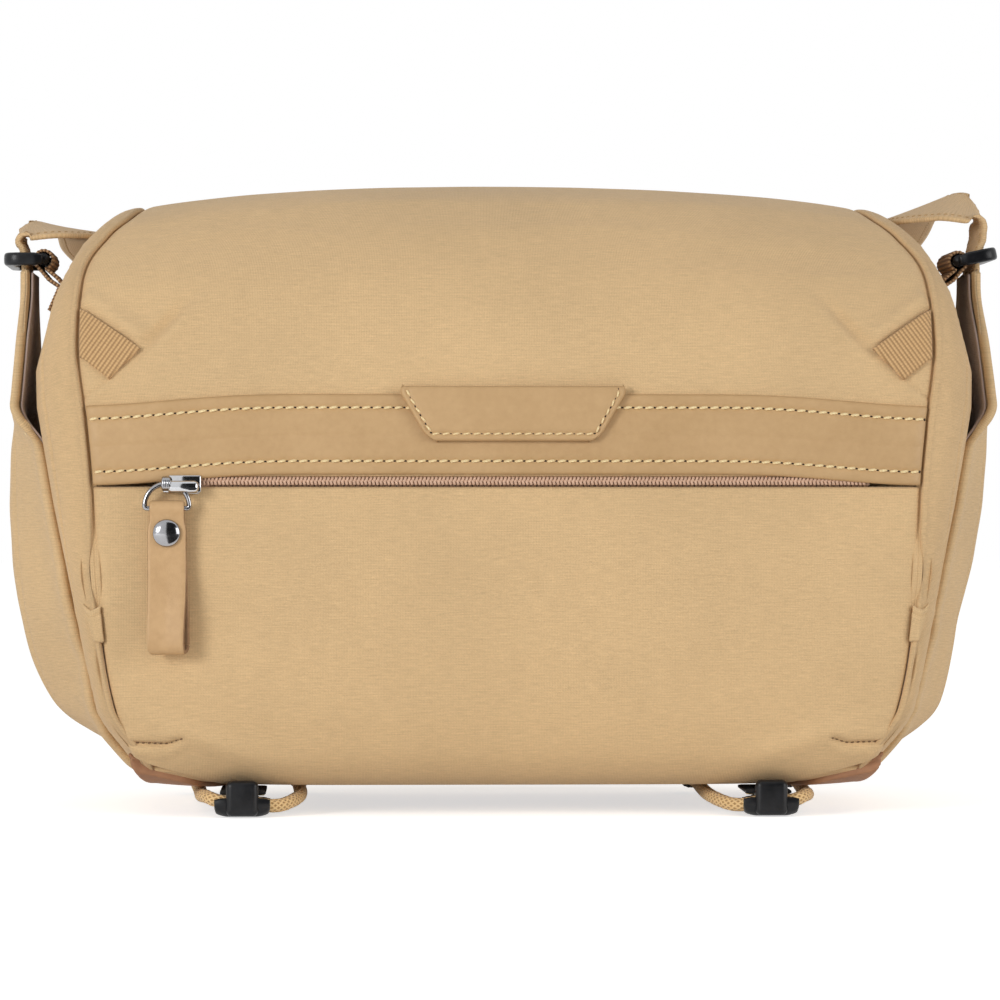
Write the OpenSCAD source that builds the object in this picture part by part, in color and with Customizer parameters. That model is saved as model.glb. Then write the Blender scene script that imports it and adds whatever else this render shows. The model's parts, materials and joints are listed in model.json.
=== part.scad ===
// Padded field pack worn as a waist or sling bag: a clamshell lid zips round a padded body,
// with a front pocket, two wing pockets, strap rings, a webbing strap and bungee loops below.

/* [Body] */
// Width of the front panel at its widest seam
panel_width = 279; // [250:1:310]
// Depth of the padded body from front face to back face
pack_depth = 145; // [125:1:165]
// Height of the crown above the ground
crown_height = 210; // [190:1:230]
// Height of the padded base above the ground
base_height = 9.5; // [9.5:0.5:12]
// Thickness of the padded walls
wall = 7; // [5:0.5:8]
// Fall of the panels from their middle to their side seams
edge_drop = 2; // [1:0.5:4]
// Further fall of the crown from its middle to its side seams
crown_fall = 5.5; // [0:0.5:8]
// Depth of the rounded gusset that joins the front to the side
gusset_depth = 19; // [16:0.5:22]
// Thickness of the fabric skins
fabric = 1.2; // [0.8:0.1:1.6]
// Slack between layers that lie on each other
slack = 0.3; // [0.2:0.05:0.4]

/* [Lid] */
// Height of the fold that the lid hinges on
hinge_height = 49; // [44:1:54]
// Width of the groove that the main zip lies in
zip_groove = 3.2; // [2.8:0.2:4]
// Radius of the main zip's rear corners
zip_corner = 20; // [14:1:24]
// Gap between the two halves of a zip's coil
coil_gap = 0.4; // [0.3:0.1:0.6]
// Thickness of a zip's coil
coil_thickness = 2; // [1.6:0.2:2.4]

/* [Front pocket] */
// Height of the front pocket's zip
zip_height = 109.6; // [104:0.1:111]
// Width of the front pocket's zip opening, up and down
zip_slit = 3.6; // [3:0.2:4]
// Depth of the front pocket's cavity
pocket_depth = 6; // [5:0.5:8]
// Left end of the front zip, from the middle
zip_left = 113; // [105:1:120]
// Right end of the front zip, from the middle
zip_right = 118; // [110:1:122]

/* [Leather trim] */
// Distance from the middle of the front zip up to the leather strip's lower edge
strip_gap = 2.1; // [2.1:0.1:4]
// Height of the leather strip, up and down
strip_height = 26; // [20:0.1:30]
// Thickness of the leather
leather = 1.6; // [1.2:0.1:2]
// Width of the badge patch at its top edge
badge_top_width = 76; // [66:1:84]
// Width of the badge patch at its lower edge
badge_bottom_width = 55; // [46:1:62]
// Height of the badge patch, up and down
badge_height = 17.5; // [14:0.5:20]
// How far the badge patch stands above the strip's upper edge
badge_rise = 2.2; // [1:0.1:5]
// Distance of the badge patch to the right of the middle
badge_shift = 1.6; // [0:0.1:4]

/* [Front zip puller] */
// Length of the slider's body
slider_length = 12.5; // [10:0.5:15]
// Width of the slider's body
slider_width = 5.6; // [5:0.2:6]
// Thickness of the slider's body
slider_thickness = 3; // [2.6:0.1:3.4]
// Outer width of the pull ring
pull_ring_width = 16; // [12:0.5:17]
// Outer height of the pull ring
pull_ring_height = 9.6; // [7.6:0.2:10]
// Thickness of the pull ring's wire
wire = 1.6; // [1.6:0.1:2.2]
// Width of the leather puller
puller_width = 12.4; // [11:0.2:14]
// Length of the leather puller below the pull ring's bar
puller_length = 47.6; // [36:0.2:50]
// Distance of the rivet below the pull ring's bar
rivet_drop = 8; // [7:0.5:12]
// Diameter of the rivet's cap
rivet_diameter = 9; // [7:0.5:10.5]

/* [Main zip pulls] */
// Length of a main zip slider
main_slider_length = 10; // [8:0.5:12]
// Width of a main zip slider's plate
main_slider_width = 7; // [6:0.5:8]
// Length of the grip on a main zip pull
grip_length = 26; // [18:1:32]
// Width of the grip on a main zip pull
grip_width = 10.6; // [10:0.2:12]
// Thickness of the grip on a main zip pull
grip_thickness = 2.2; // [1.8:0.1:3]
// Length of the wire between a main zip slider and its grip
pull_wire_length = 8; // [6:0.5:10]

/* [Rings and strap] */
// Height of the strap rings
ring_height = 184; // [180:0.5:188]
// Thickness of a strap ring
ring_thickness = 4.4; // [4:0.2:4.8]
// Length of a strap ring, front to back
ring_length = 40; // [38:1:44]
// Width of a strap ring, side to side
ring_width = 19.4; // [18.5:0.2:21]
// Width of the webbing that passes through the rings
strap_width = 30; // [26:0.5:31]
// Thickness of the strap's webbing
strap_thickness = 2; // [1.6:0.1:2.2]
// Running clearance between webbing and ring
ring_clearance = 0.35; // [0.3:0.05:0.5]
// Upward tilt of the right ring
right_ring_tilt = 12; // [0:1:14]

/* [Cord hooks] */
// Distance of each cord hook from the middle
hook_offset = 86.5; // [80:0.5:92]
// Width of a cord hook
hook_width = 19; // [16:0.5:21]
// Diameter of the bungee cord
bungee_diameter = 4.5; // [4:0.1:4.8]
// Clearance round the bungee cord
bungee_clearance = 0.35; // [0.25:0.05:0.5]
// Width of the saddle in the middle of a cord hook
saddle_width = 10; // [8:0.5:14]
// Wall of a cord hook round its cord
hook_wall = 1.6; // [1.3:0.1:1.7]

/* [Inside] */
// Distance of each divider from the middle
divider_offset = 46; // [36:1:56]
// Thickness of a divider
divider_thickness = 8; // [6:0.5:10]
// Thickness of the lining fabric
lining = 1; // [0.8:0.1:1.2]

/* [Hidden] */
$fn = 40;

tan_fabric = "#cdae82";
leather_tan = "#c0a074";
webbing_tan = "#b18c66";
brown_leather = "#8a6546";
taupe = "#7d6b62";
black = "#2c2c2e";
steel = "#c8c8c6";

back_reach = 182;      // depth that the hanging strap reaches behind the front face
puller_reach = 7.9;    // how far the rivet on the zip puller stands out in front
front_y = -(back_reach - puller_reach) / 2;

// The body's lines from the front foot up over the crown, down the back and along the base:
// shares of the depth, of the height above the base, and of the half width.
lines = [
    [0.042, 0.036, 0.862], [0.008, 0.100, 0.894], [0.000, 0.197, 0.926], [0.000, 0.337, 0.948],
    [0.000, 0.486, 0.958], [0.003, 0.596, 0.972], [0.028, 0.711, 0.993], [0.083, 0.815, 0.990],
    [0.145, 0.880, 0.977], [0.221, 0.935, 0.936], [0.317, 0.976, 0.888], [0.469, 1.000, 0.858],
    [0.648, 0.992, 0.848], [0.828, 0.952, 0.840], [0.938, 0.880, 0.842], [0.993, 0.763, 0.858],
    [1.000, 0.508, 0.885], [1.000, 0.253, 0.885], [0.986, 0.089, 0.848], [0.938, 0.015, 0.806],
    [0.759, 0.000, 0.785], [0.517, 0.000, 0.785], [0.300, 0.000, 0.798], [0.125, 0.002, 0.832]];
count = len(lines);

zip_end = 13;          // where the main zip crosses the top of the back
back_seam = 15;        // where the back panel meets the strip above it
base_seam = 19.5;      // where the back panel meets the base
corner_run = 0.8;      // length of the zip's rear corner, in stations of the lines

// Half width of the padded side at each height, as [height share, half width share].
side_shares = [
    [0.00, 0.850], [0.05, 0.942], [0.10, 0.955], [0.20, 0.985], [0.30, 1.018], [0.46, 1.065],
    [0.62, 1.105], [0.68, 1.108], [0.78, 1.075], [0.86, 1.025], [0.91, 0.970], [1.00, 0.850]];

// Half width of the wing pocket's outside at each height, in the same shares.
wing_shares = [
    [0.00, 0.870], [0.03, 0.908], [0.06, 0.968], [0.095, 1.042], [0.13, 1.083], [0.163, 1.113],
    [0.197, 1.135], [0.231, 1.149], [0.30, 1.170], [0.36, 1.180], [0.45, 1.187], [0.57, 1.188],
    [0.70, 1.186], [0.81, 1.172], [0.86, 1.174]];

function share(height) = (height - base_height) / (crown_height - base_height);
function side_half(height) = panel_width / 2 * lookup(share(height), side_shares);
function wing_half(height) = panel_width / 2 * lookup(share(height), wing_shares);

// A station of the lines, in millimetres: depth, height and half width.
function knot(i) = let (row = lines[(i % count + count) % count])
    [row[0] * pack_depth, base_height + row[1] * (crown_height - base_height),
     row[2] * panel_width / 2];

function curve(a, b, c, d, f) =
    b + f * (c - a) / 2 + f * f * (a - 2.5 * b + 2 * c - d / 2)
    + f * f * f * (1.5 * b - a / 2 - 1.5 * c + d / 2);

function at(t) = let (i = floor(t)) curve(knot(i - 1), knot(i), knot(i + 1), knot(i + 2), t - i);

function unit(v) = v / norm(v);
function outward(t) = let (run = at(t + 0.02) - at(t - 0.02)) unit([-run[1], run[0]]);

// How much of the crown's further fall a station has.
function crown(t) = smooth((t - 6) / 3) * (1 - smooth((t - 12) / 3));

// A point over the body's skin: across, round the lines, and out along the normal.
function skin(x, t, out) = let (p = at(t), n = outward(t), u = min(abs(x) / p[2], 1),
    rise = out - edge_drop * pow(u, 6) - crown_fall * crown(t) * u * u)
    [x, front_y + p[0] + n[0] * rise, p[1] + n[1] * rise];

front_stations = [for (t = [0:0.1:11]) [at(t)[1], t]];
function front_at(height) = lookup(height, front_stations);

// Half width of the opening that the main zip follows: it draws in round the rear corners
// and widens again along the base.
function smooth(f) = let (g = min(max(f, 0), 1)) g * g * (3 - 2 * g);
function corner(t) = t < 8
    ? 0
    : t < zip_end
        ? let (u = max((t - zip_end + corner_run) / corner_run, 0)) 1 - sqrt(1 - u * u)
        : 1 - smooth((t - base_seam) / 3);
function rim(t) = at(t)[2] - zip_corner * corner(t % count);

strip_bottom = zip_height + strip_gap;
strip_top = strip_bottom + strip_height;
garage_top = hinge_height + 20;       // height of the lower ends of the main zip
fold_gap = 0.02;                      // half of the gap at the lid's fold, in stations
zip_gap = zip_groove / norm(at(zip_end + 0.5) - at(zip_end - 0.5));
hinge_station = front_at(hinge_height);
slit_low = front_at(zip_height - zip_slit / 2);
slit_high = front_at(zip_height + zip_slit / 2);

// A closed solid between two grids of points; loop joins the last row to the first.
module slab(outer, inner, loop = false) {
    rows = len(outer);
    cols = len(outer[0]);
    m = rows * cols;
    last = loop ? rows - 1 : rows - 2;
    c = cols - 1;
    a = (rows - 1) * cols;
    quads = concat(
        [for (i = [0:last], j = [0:c - 1]) let (k = (i + 1) % rows)
            [i * cols + j, k * cols + j, k * cols + j + 1, i * cols + j + 1]],
        [for (i = [0:last], j = [0:c - 1]) let (k = (i + 1) % rows)
            [m + i * cols + j, m + i * cols + j + 1, m + k * cols + j + 1, m + k * cols + j]],
        [for (i = [0:last]) let (k = (i + 1) % rows)
            [i * cols, m + i * cols, m + k * cols, k * cols]],
        [for (i = [0:last]) let (k = (i + 1) % rows)
            [i * cols + c, k * cols + c, m + k * cols + c, m + i * cols + c]],
        loop ? [] : [for (j = [0:c - 1]) [j, j + 1, m + j + 1, m + j]],
        loop ? [] : [for (j = [0:c - 1]) [a + j, m + a + j, m + a + j + 1, a + j + 1]]);
    polyhedron(
        points = concat([for (row = outer) each row], [for (row = inner) each row]),
        faces = [for (q = quads) each [[q[0], q[1], q[2]], [q[0], q[2], q[3]]]],
        convexity = 6);
}

// Stations shared by all layers, so that layers on each other follow the same facets.
station_step = 0.5;
function stations(from, to) = concat([from],
    [for (i = [floor(from / station_step):ceil(to / station_step)]) let (t = i * station_step)
        if (t > from + 0.1 && t < to - 0.1) t],
    [to]);

// A layer on the body's lines between two stations, from left(t) to right(t) across.
module layer(from, to, left, right, top, bottom, cols) {
    function grid(out) = [for (t = stations(from, to))
        [for (j = [0:cols]) let (x = left(t) + (right(t) - left(t)) * j / cols)
            skin(x, t, out(x, t))]];
    slab(grid(top), grid(bottom));
}

// A layer of the body that reaches the gussets on both sides, less the inset.
module body_panel(from, to, top, bottom, inset = 0) {
    function half(t) = rim(t) + zip_groove - inset;
    layer(from, to, function (t) -half(t), function (t) half(t),
        function (x, t) top, function (x, t) bottom, 12);
}

// A narrow strip across the opening along the rear run of the main zip.
module cross_strip(from, to, top, bottom) {
    function half(t) = rim(t) - 0.2;
    layer(from, to, function (t) -half(t), function (t) half(t),
        function (x, t) top, function (x, t) bottom, 12);
}

// A four-sided patch on the front, its corners given as [across, height], low left first.
module patch(corners, top, bottom, rows = 3, cols = 3) {
    function spot(f, g, out) = let (
        low = corners[0] + (corners[1] - corners[0]) * f,
        high = corners[3] + (corners[2] - corners[3]) * f,
        p = low + (high - low) * g) skin(p[0], front_at(p[1]), out);
    function grid(out) = [for (i = [0:rows]) [for (j = [0:cols]) spot(j / cols, i / rows, out)]];
    slab(grid(top), grid(bottom));
}

// A solid through a list of closed rings of points, each turning right-handed along the way.
module loft(rings) {
    m = len(rings[0]);
    n = len(rings);
    sides = [for (i = [0:n - 2], j = [0:m - 1]) let (k = (j + 1) % m)
        [i * m + j, (i + 1) * m + j, (i + 1) * m + k, i * m + k]];
    polyhedron(
        points = [for (ring = rings) each ring],
        faces = concat([[for (j = [0:m - 1]) j]],
            [for (q = sides) each [[q[0], q[1], q[2]], [q[0], q[2], q[3]]]],
            [[for (j = [m - 1:-1:0]) (n - 1) * m + j]]),
        convexity = 6);
}

// A smooth route through points chosen by hand, with the given steps between them.
function route(points, steps) = let (n = len(points)) concat(
    [for (i = [0:n - 2], s = [0:steps - 1])
        curve(points[max(i - 1, 0)], points[i], points[i + 1], points[min(i + 2, n - 1)], s / steps)],
    [points[n - 1]]);

function heading(way, i) = unit(way[min(i + 1, len(way) - 1)] - way[max(i - 1, 0)]);

module cord(points, diameter, sides, steps) {
    way = route(points, steps);
    loft([for (i = [0:len(way) - 1]) let (run = heading(way, i),
        across = unit(cross(run, [0, 0, 1])), up = cross(run, across))
        [for (j = [0:sides - 1]) let (a = 360 * j / sides)
            way[i] + diameter / 2 * (across * cos(a) + up * sin(a))]]);
}

// Webbing along a route; each point also carries the direction of the webbing's width.
module webbing(points, facings, width, thickness, steps) {
    way = route(points, steps);
    turn = route(facings, steps);
    loft([for (i = [0:len(way) - 1]) let (run = heading(way, i),
        across = unit(turn[i] - run * (run * turn[i])), up = cross(run, across))
        [for (c = [[1, 1], [-1, 1], [-1, -1], [1, -1]])
            way[i] + across * (c[0] * width / 2) + up * (c[1] * thickness / 2)]]);
}

// Parts made for the right side are mirrored for the left.
module sided(side) {
    mirror([side < 0 ? 1 : 0, 0, 0]) children();
}

/* ---- Body ---- */

module front_lower_panel() {
    color(tan_fabric) body_panel(count, count + hinge_station - fold_gap, 0, -wall);
}

module rear_top_strip() {
    color(tan_fabric) body_panel(zip_end + zip_gap, back_seam, 0, -wall);
}

module back_panel() {
    color(tan_fabric) body_panel(back_seam, base_seam, 0, -wall);
}

module base_panel() {
    color(tan_fabric) body_panel(base_seam, count, 0, -wall);
}

module base_cover() {
    color(brown_leather) body_panel(base_seam, count - 0.25, fabric, 0);
}

// How far each ring of the gusset has gone across, in, and round to face the side.
gusset_rings = [[0, 0, 0], [0.12, 0.03, 0.15], [0.45, 0.17, 0.45], [0.80, 0.48, 0.75], [1, 1, 1]];

// The gusset's rear edge: the body's lines drawn in towards the middle of the side.
function drawn_in(t) = let (
    p = at(t),
    middle = [pack_depth, base_height + crown_height] / 2,
    span = [pack_depth, crown_height - base_height] / 2,
    q = middle + [for (k = [0, 1]) (p[k] - middle[k]) * (1 - gusset_depth / span[k])])
    [0, front_y + q[0], q[1]];

// A point of the gusset: station, ring, and depth below its outside.
function gusset(t, ring, depth) = let (
    row = gusset_rings[ring],
    p = at(t),
    edge = row[0] == 0 ? rim(t) + zip_groove : p[2] + zip_groove,
    start = skin(edge, t, 0),
    rest = start + (drawn_in(t) - start) * row[1],
    reach = side_half(drawn_in(t)[2]))
    [edge + (reach - edge) * row[0] - depth * sin(90 * row[2]),
     rest[1] - outward(t)[0] * depth * cos(90 * row[2]),
     rest[2] - outward(t)[1] * depth * cos(90 * row[2])];

gusset_stations = [for (i = [0:2 * count - 1]) i / 2];

module side_gusset(side) {
    function grid(depth) = [for (t = gusset_stations)
        [for (ring = [0:len(gusset_rings) - 1]) gusset(t, ring, depth)]];
    color(tan_fabric) sided(side) slab(grid(0), grid(wall), loop = true);
}

// The board fills the gusset's inner edge; each rung joins a front and a back station.
module side_board(side) {
    edge = len(gusset_rings) - 1;
    function grid(depth) = [for (j = [1.5:0.5:11.5])
        [gusset(count - 2 + j, edge, depth), gusset(count - 2 - j, edge, depth)]];
    color(tan_fabric) sided(side) slab(grid(0), grid(wall));
}

module compartment_lining() {
    color(taupe) body_panel(zip_end + 0.5, count + hinge_station - 0.15,
        -wall - slack, -wall - slack - lining, zip_groove + 3);
}

// A padded divider that stands across the compartment between front and back.
module divider(side) {
    clear = wall + lining + 2 * slack + 0.5;
    roof = wall + fabric + lining + 3;
    low = [for (t = [back_seam - 0.5:0.5:count + hinge_station - 0.3]) skin(0, t, -clear)];
    high = [for (t = [hinge_station + 0.3:0.5:zip_end])
        skin(0, t, -roof - pocket_depth * smooth((slit_high + 0.8 - t) / 0.8))];
    color(taupe) translate([side * divider_offset - divider_thickness / 2, 0, 0])
        rotate([90, 0, 90]) linear_extrude(divider_thickness)
            polygon([for (p = concat(low, high)) [p[1], p[2]]]);
}

// One half of a zip's coil along the groove: its near and far edge from the rim.
module coil_run(near, far) {
    top = function (x, t) -fabric;
    bottom = function (x, t) -fabric - coil_thickness;
    layer(front_at(garage_top), zip_end, function (t) rim(t) + near, function (t) rim(t) + far,
        top, bottom, 1);
}

coil_half = (zip_groove - coil_gap) / 2;

module main_zip_body_coil() {
    color(webbing_tan) {
        coil_run(coil_half + coil_gap, zip_groove - slack);
        mirror([1, 0, 0]) coil_run(coil_half + coil_gap, zip_groove - slack);
        cross_strip(zip_end + zip_gap * (coil_half + coil_gap) / zip_groove, zip_end + zip_gap,
            -fabric, -fabric - coil_thickness);
    }
}

// A fabric stop that covers the end of the main zip at the foot of the lid's side seam.
module zip_garage(side) {
    low = front_at(garage_top - 12);
    high = front_at(garage_top);
    function grid(lift) = [for (i = [0:2]) let (t = low + (high - low) * i / 2)
        [for (ring = [0:2]) gusset(t, ring, -lift)]];
    color(tan_fabric) sided(side) slab(grid(0.1 + fabric), grid(0.1));
}

module back_pad(side) {
    inner = 8;
    outer = 0.66 * panel_width / 2;
    color(taupe) sided(side) layer(back_seam + 0.4, base_seam - 1.2, function (t) inner,
        function (t) outer, function (x, t) 3 + slack, function (x, t) slack, 6);
}

/* ---- Wing pockets ---- */

wing_top = ring_height - 4;           // where the wing's tip becomes the strap
wing_wall = 3;                        // fabric over foam
wing_rows = 16;
wing_cols = 10;

// Depth of the wing's front and back edge at each height share.
wing_front = [[0, 30], [0.1, 24], [0.3, 20.5], [0.58, 21], [0.66, 25], [0.73, 33], [0.78, 44],
    [0.81, 50]];
wing_back = [[0, 112], [0.1, 122], [0.3, 127], [0.55, 126], [0.66, 117], [0.73, 102], [0.78, 87],
    [0.81, 80]];

// How far the wing stands out at each share of its run from front to back; hold is how far its
// open edges do.
function swell(f, hold) = let (
    rise = smooth(f / 0.34), fall = smooth((1 - f) / 0.30))
    (rise + (1 - rise) * hold) * (fall + (1 - fall) * hold);

// Half width that the wing lies on: the flat of the side, drawn in round the gusset's foot.
side_foot = base_height + gusset_depth;
foot_run = side_half(side_foot) - at(21)[2] - zip_groove;
function near_half(height) = let (u = max((side_foot - height) / gusset_depth, 0))
    side_half(max(height, side_foot)) - foot_run * (1 - sqrt(max(1 - u * u, 0)));

function wing(height, f, depth) = let (
    s = share(height),
    y = front_y + lookup(s, wing_front) * (1 - f) + lookup(s, wing_back) * f,
    hold = smooth((s - 0.56) / 0.1) * (0.6 + 0.35 * smooth((s - 0.66) / 0.12)),
    near = near_half(height) + wing_wall + 2 * slack,
    far = max(wing_half(height), near))
    [near + (far - near) * swell(f, hold) - depth, y, height];

wing_low = base_height + 3;

// Part of the wing between two rows and two columns of its grid.
module wing_part(side, outer, inner, first_row, margin) {
    function grid(depth) = [for (i = [first_row:wing_rows])
        [for (j = [margin:wing_cols - margin])
            wing(wing_low + (wing_top - wing_low) * i / wing_rows, j / wing_cols, depth)]];
    sided(side) slab(grid(outer), grid(inner));
}

module wing_pocket(side) {
    color(tan_fabric) wing_part(side, 0, wing_wall, 0, 0);
}

module wing_lining(side) {
    depth = wing_wall + slack;
    color(taupe) wing_part(side, depth, depth + lining, 7, 1);
}

/* ---- Rings and strap ---- */

ring_mid = 65;                                       // depth of the rings' middle
bar = ring_thickness / 2 - 0.2;                      // radius of the bar that the ring turns on
strap_x = wing(wing_top, 0.5, wing_wall / 2)[0];      // where the strap passes through the ring
ring_axis = strap_x - bar - ring_clearance - 1.4 - 3.6 - strap_thickness / 2;
ring_far = ring_axis - bar + ring_width;             // outer face of the ring
loop_width = strap_width;

module rounded(x0, x1, y0, y1, r) {
    translate([x0 + r, y0]) square([x1 - x0 - 2 * r, y1 - y0]);
    translate([x0, y0 + r]) square([x1 - x0, y1 - y0 - 2 * r]);
    for (x = [x0 + r, x1 - r], y = [y0 + r, y1 - r]) translate([x, y]) circle(r);
}

// A moulded ring: a flat frame open at its inner side, closed there by a round bar that turns
// in its webbing.
module side_ring(side, tilt) {
    half = ring_thickness / 2;
    frame = 3.6;
    y0 = front_y + ring_mid - ring_length / 2;
    y1 = y0 + ring_length;
    color(black) sided(side)
        translate([ring_axis, 0, ring_height]) rotate([0, -tilt, 0])
            translate([-ring_axis, 0, 0]) {
                translate([0, 0, -half]) linear_extrude(ring_thickness) difference() {
                    rounded(ring_axis - half, ring_far, y0, y1, 4);
                    rounded(ring_axis + half, ring_far - frame, y0 + frame, y1 - frame, 1.5);
                    translate([ring_axis - half - 1, y0 + frame])
                        square([2 * half + 3, ring_length - 2 * frame]);
                }
                translate([ring_axis, y0 + frame / 2, 0]) rotate([-90, 0, 0])
                    cylinder(r = bar, h = ring_length - frame);
            }
}

// Webbing that holds the ring: an eye round its inner bar and a tail sewn to the side.
module ring_webbing(side) {
    ply = 1.4;
    eye = bar + ring_clearance;
    foot_z = ring_height - 17;
    knee_z = ring_height - 9;
    color(webbing_tan) sided(side)
        translate([0, front_y + ring_mid + loop_width / 2, 0]) rotate([90, 0, 0])
            linear_extrude(loop_width) difference() {
                union() {
                    translate([ring_axis, ring_height]) circle(eye + ply);
                    polygon([
                        [ring_axis - eye - ply, ring_height], [ring_axis + 0.6, ring_height - eye - ply],
                        [side_half(knee_z) + 0.3 + 2 * ply, knee_z - 2],
                        [side_half(foot_z) + 0.3 + 2 * ply, foot_z],
                        [side_half(foot_z) + 0.3, foot_z], [side_half(knee_z) + 0.3, knee_z],
                        [side_half(knee_z + 3) + 0.3, knee_z + 3]]);
                }
                translate([ring_axis, ring_height]) circle(eye);
            }
}

behind = pack_depth + 6;              // depth of the strap's first run down the back

// Half of the strap on each side, from the wing's tip through the ring, over the shoulder and
// down the back: across from the ring's slot, depth, and height as a share of the ring's height.
strap_start = [[0, 65, (wing_top + 0.4) / ring_height], [0, 65, 1], [0.8, 65, 1.02]];
arch_left = [[0.6, 65, 1.034], [-2.4, 66, 1.047], [-7.5, 69, 1.056], [-13.5, 78, 1.068]];
arch_right = [[1.2, 65, 1.038], [-0.4, 66, 1.062], [-5.5, 69, 1.08], [-13, 78, 1.088]];
strap_run = [
    [-17, 94, 1.084], [-19.5, 110, 1.086], [-23, 126, 1.07], [-29, 140, 1.034],
    [-33, behind - 1, 0.985], [-37, behind + 4, 0.9], [-40, behind + 7, 0.772],
    [-44, behind + 9, 0.609], [-52, behind + 11, 0.446], [-66, behind + 14, 0.304],
    [-88, behind + 15, 0.207], [-118, behind + 16, 0.152], [-strap_x, behind + 16, 0.13]];

// Direction of the strap's width at each of those points.
level = [0, 1, 0];
turns_left = [[0, 1, 0.12], [0, 1, 0.25], [0, 1, 0.2], [0.3, 0.9, 0]];
turns_right = [[0, 1, 0.2], [0, 1, 0.42], [0, 1, 0.4], [0.3, 0.9, 0.05]];
run_turns = [
    [0.9, 0.5, -0.12], [1, 0.3, -0.16], [1, 0.2, -0.18], [1, 0.15, -0.15], [1, 0.1, -0.1],
    [1, 0.05, 0], [1, 0.05, 0], [1, 0.12, 0],
    [0.9, 0.6, 0], [0.45, 1, 0], [0.15, 1, 0], level, level];
adjuster_at = 13;

function strap_side(arch) = [for (p = concat(strap_start, arch, strap_run))
    [strap_x + p[0], front_y + p[1], p[2] * ring_height]];
function strap_facing(arch_turns) = concat([level, level, level], arch_turns, run_turns);
function to_left(rows) = [for (i = [len(rows) - 2:-1:0]) [-rows[i][0], rows[i][1], rows[i][2]]];
strap_points = concat(strap_side(arch_right), to_left(strap_side(arch_left)));
strap_facings = concat(strap_facing(turns_right), to_left(strap_facing(turns_left)));

module shoulder_strap() {
    color(tan_fabric) webbing(strap_points, strap_facings, strap_width, strap_thickness, 2);
}

// A three-bar slide on the strap behind the back: side rails, two outer bars, one inner bar.
module strap_adjuster() {
    gap = strap_thickness / 2 + 0.5;
    rod = 1.6;
    span = strap_width / 2 + 0.6;
    rail = 2.6;
    i = adjuster_at;
    run = unit(strap_points[i + 1] - strap_points[i - 1]);
    across = unit(strap_facings[i] - run * (run * strap_facings[i]));
    out = cross(run, across);
    place = [for (k = [0:2]) [across[k], out[k], run[k], strap_points[i][k]]];
    color(black) multmatrix(concat(place, [[0, 0, 0, 1]])) {
        for (x = [-span - rail, span]) translate([x, -gap - 2 * rod, -10])
            cube([rail, 2 * gap + 4 * rod, 20]);
        for (z = [-8.4, 8.4]) translate([-span - 1, gap + rod, z]) rotate([0, 90, 0])
            cylinder(r = rod, h = 2 * span + 2);
        translate([-span - 1, -gap - rod, 0]) rotate([0, 90, 0]) cylinder(r = rod, h = 2 * span + 2);
    }
}

/* ---- Cord hooks and bungee loops ---- */

cord_eye = bungee_diameter / 2 + bungee_clearance;
hook_mid = 9;                                        // depth of the cord in the hook
hook_eye_z = hook_wall + cord_eye;                   // height of the cord in the hook
base_under = base_height - fabric;                   // underside of the base cover
cord_z = base_under - bungee_diameter / 2 - 0.35;    // height of the cord under the base
cord_spread = 17.5;                                  // half distance between a loop's two runs
anchor_depth = 0.86 * pack_depth;                    // depth of the rear webbing anchors
tab_thickness = 1.3;

// A moulded hook: a low rounded lip that holds the cord crossways, a saddle that stands up in
// front of the base, and a tongue for its webbing.
module cord_hook(side) {
    r = cord_eye + hook_wall;
    tongue = 2.4;
    top = base_under - 0.35 - tab_thickness - 0.3;
    saddle = 1.7;
    module lip(width, inset) {
        translate([0, 0, -width / 2]) linear_extrude(width) offset(delta = -inset) hull() {
            translate([hook_mid, hook_eye_z]) circle(r);
            translate([hook_mid - r * 0.55, 0]) square([r * 1.1, r]);
        }
    }
    color(black) sided(side)
        translate([hook_offset, front_y, 0]) rotate([90, 0, 90]) difference() {
            union() {
                hull() {
                    lip(hook_width - 2, 0);
                    lip(hook_width, 1);
                }
                translate([0, 0, -saddle_width / 2]) linear_extrude(saddle_width) {
                    translate([hook_mid, top - tongue]) square([13, tongue]);
                    hull() for (z = [hook_eye_z, base_under + 3.3 - saddle])
                        translate([hook_mid - r + saddle - 0.8, z]) circle(saddle);
                }
            }
            translate([hook_mid, hook_eye_z, -hook_width]) cylinder(r = cord_eye, h = 2 * hook_width);
        }
}

module hook_tab(side) {
    color(webbing_tan) translate([side * hook_offset - 7.5, front_y + hook_mid + 6,
        base_under - 0.35 - tab_thickness]) cube([15, 32, tab_thickness]);
}

// Webbing loops at the rear seam that hold the ends of a bungee loop.
module cord_anchor(side) {
    ply = 1.3;
    color(webbing_tan) sided(side) for (x = [hook_offset - cord_spread, hook_offset + cord_spread])
        translate([x, front_y + anchor_depth, cord_z]) rotate([-90, 0, 0]) difference() {
            union() {
                cylinder(r = cord_eye + ply, h = 12);
                translate([-cord_eye - ply - 3, -(base_under - cord_z) + 0.3, 0])
                    cube([2 * (cord_eye + ply + 3), ply, 12]);
            }
            translate([0, 0, -1]) cylinder(r = cord_eye, h = 14);
            translate([-20, -20 - (base_under - cord_z) + 0.3, -1]) cube([40, 20, 14]);
        }
}

// Half of a bungee loop, from its rear end forward to the middle of its hook.
bungee_half = [
    [cord_spread, anchor_depth + 13, cord_z], [cord_spread, 100, cord_z], [cord_spread, 60, cord_z],
    [cord_spread, 30, cord_z], [cord_spread - 2, 18, 4.9], [cord_spread - 6, 11, 4.5],
    [10, hook_mid, hook_eye_z], [0, hook_mid, hook_eye_z]];

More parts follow.
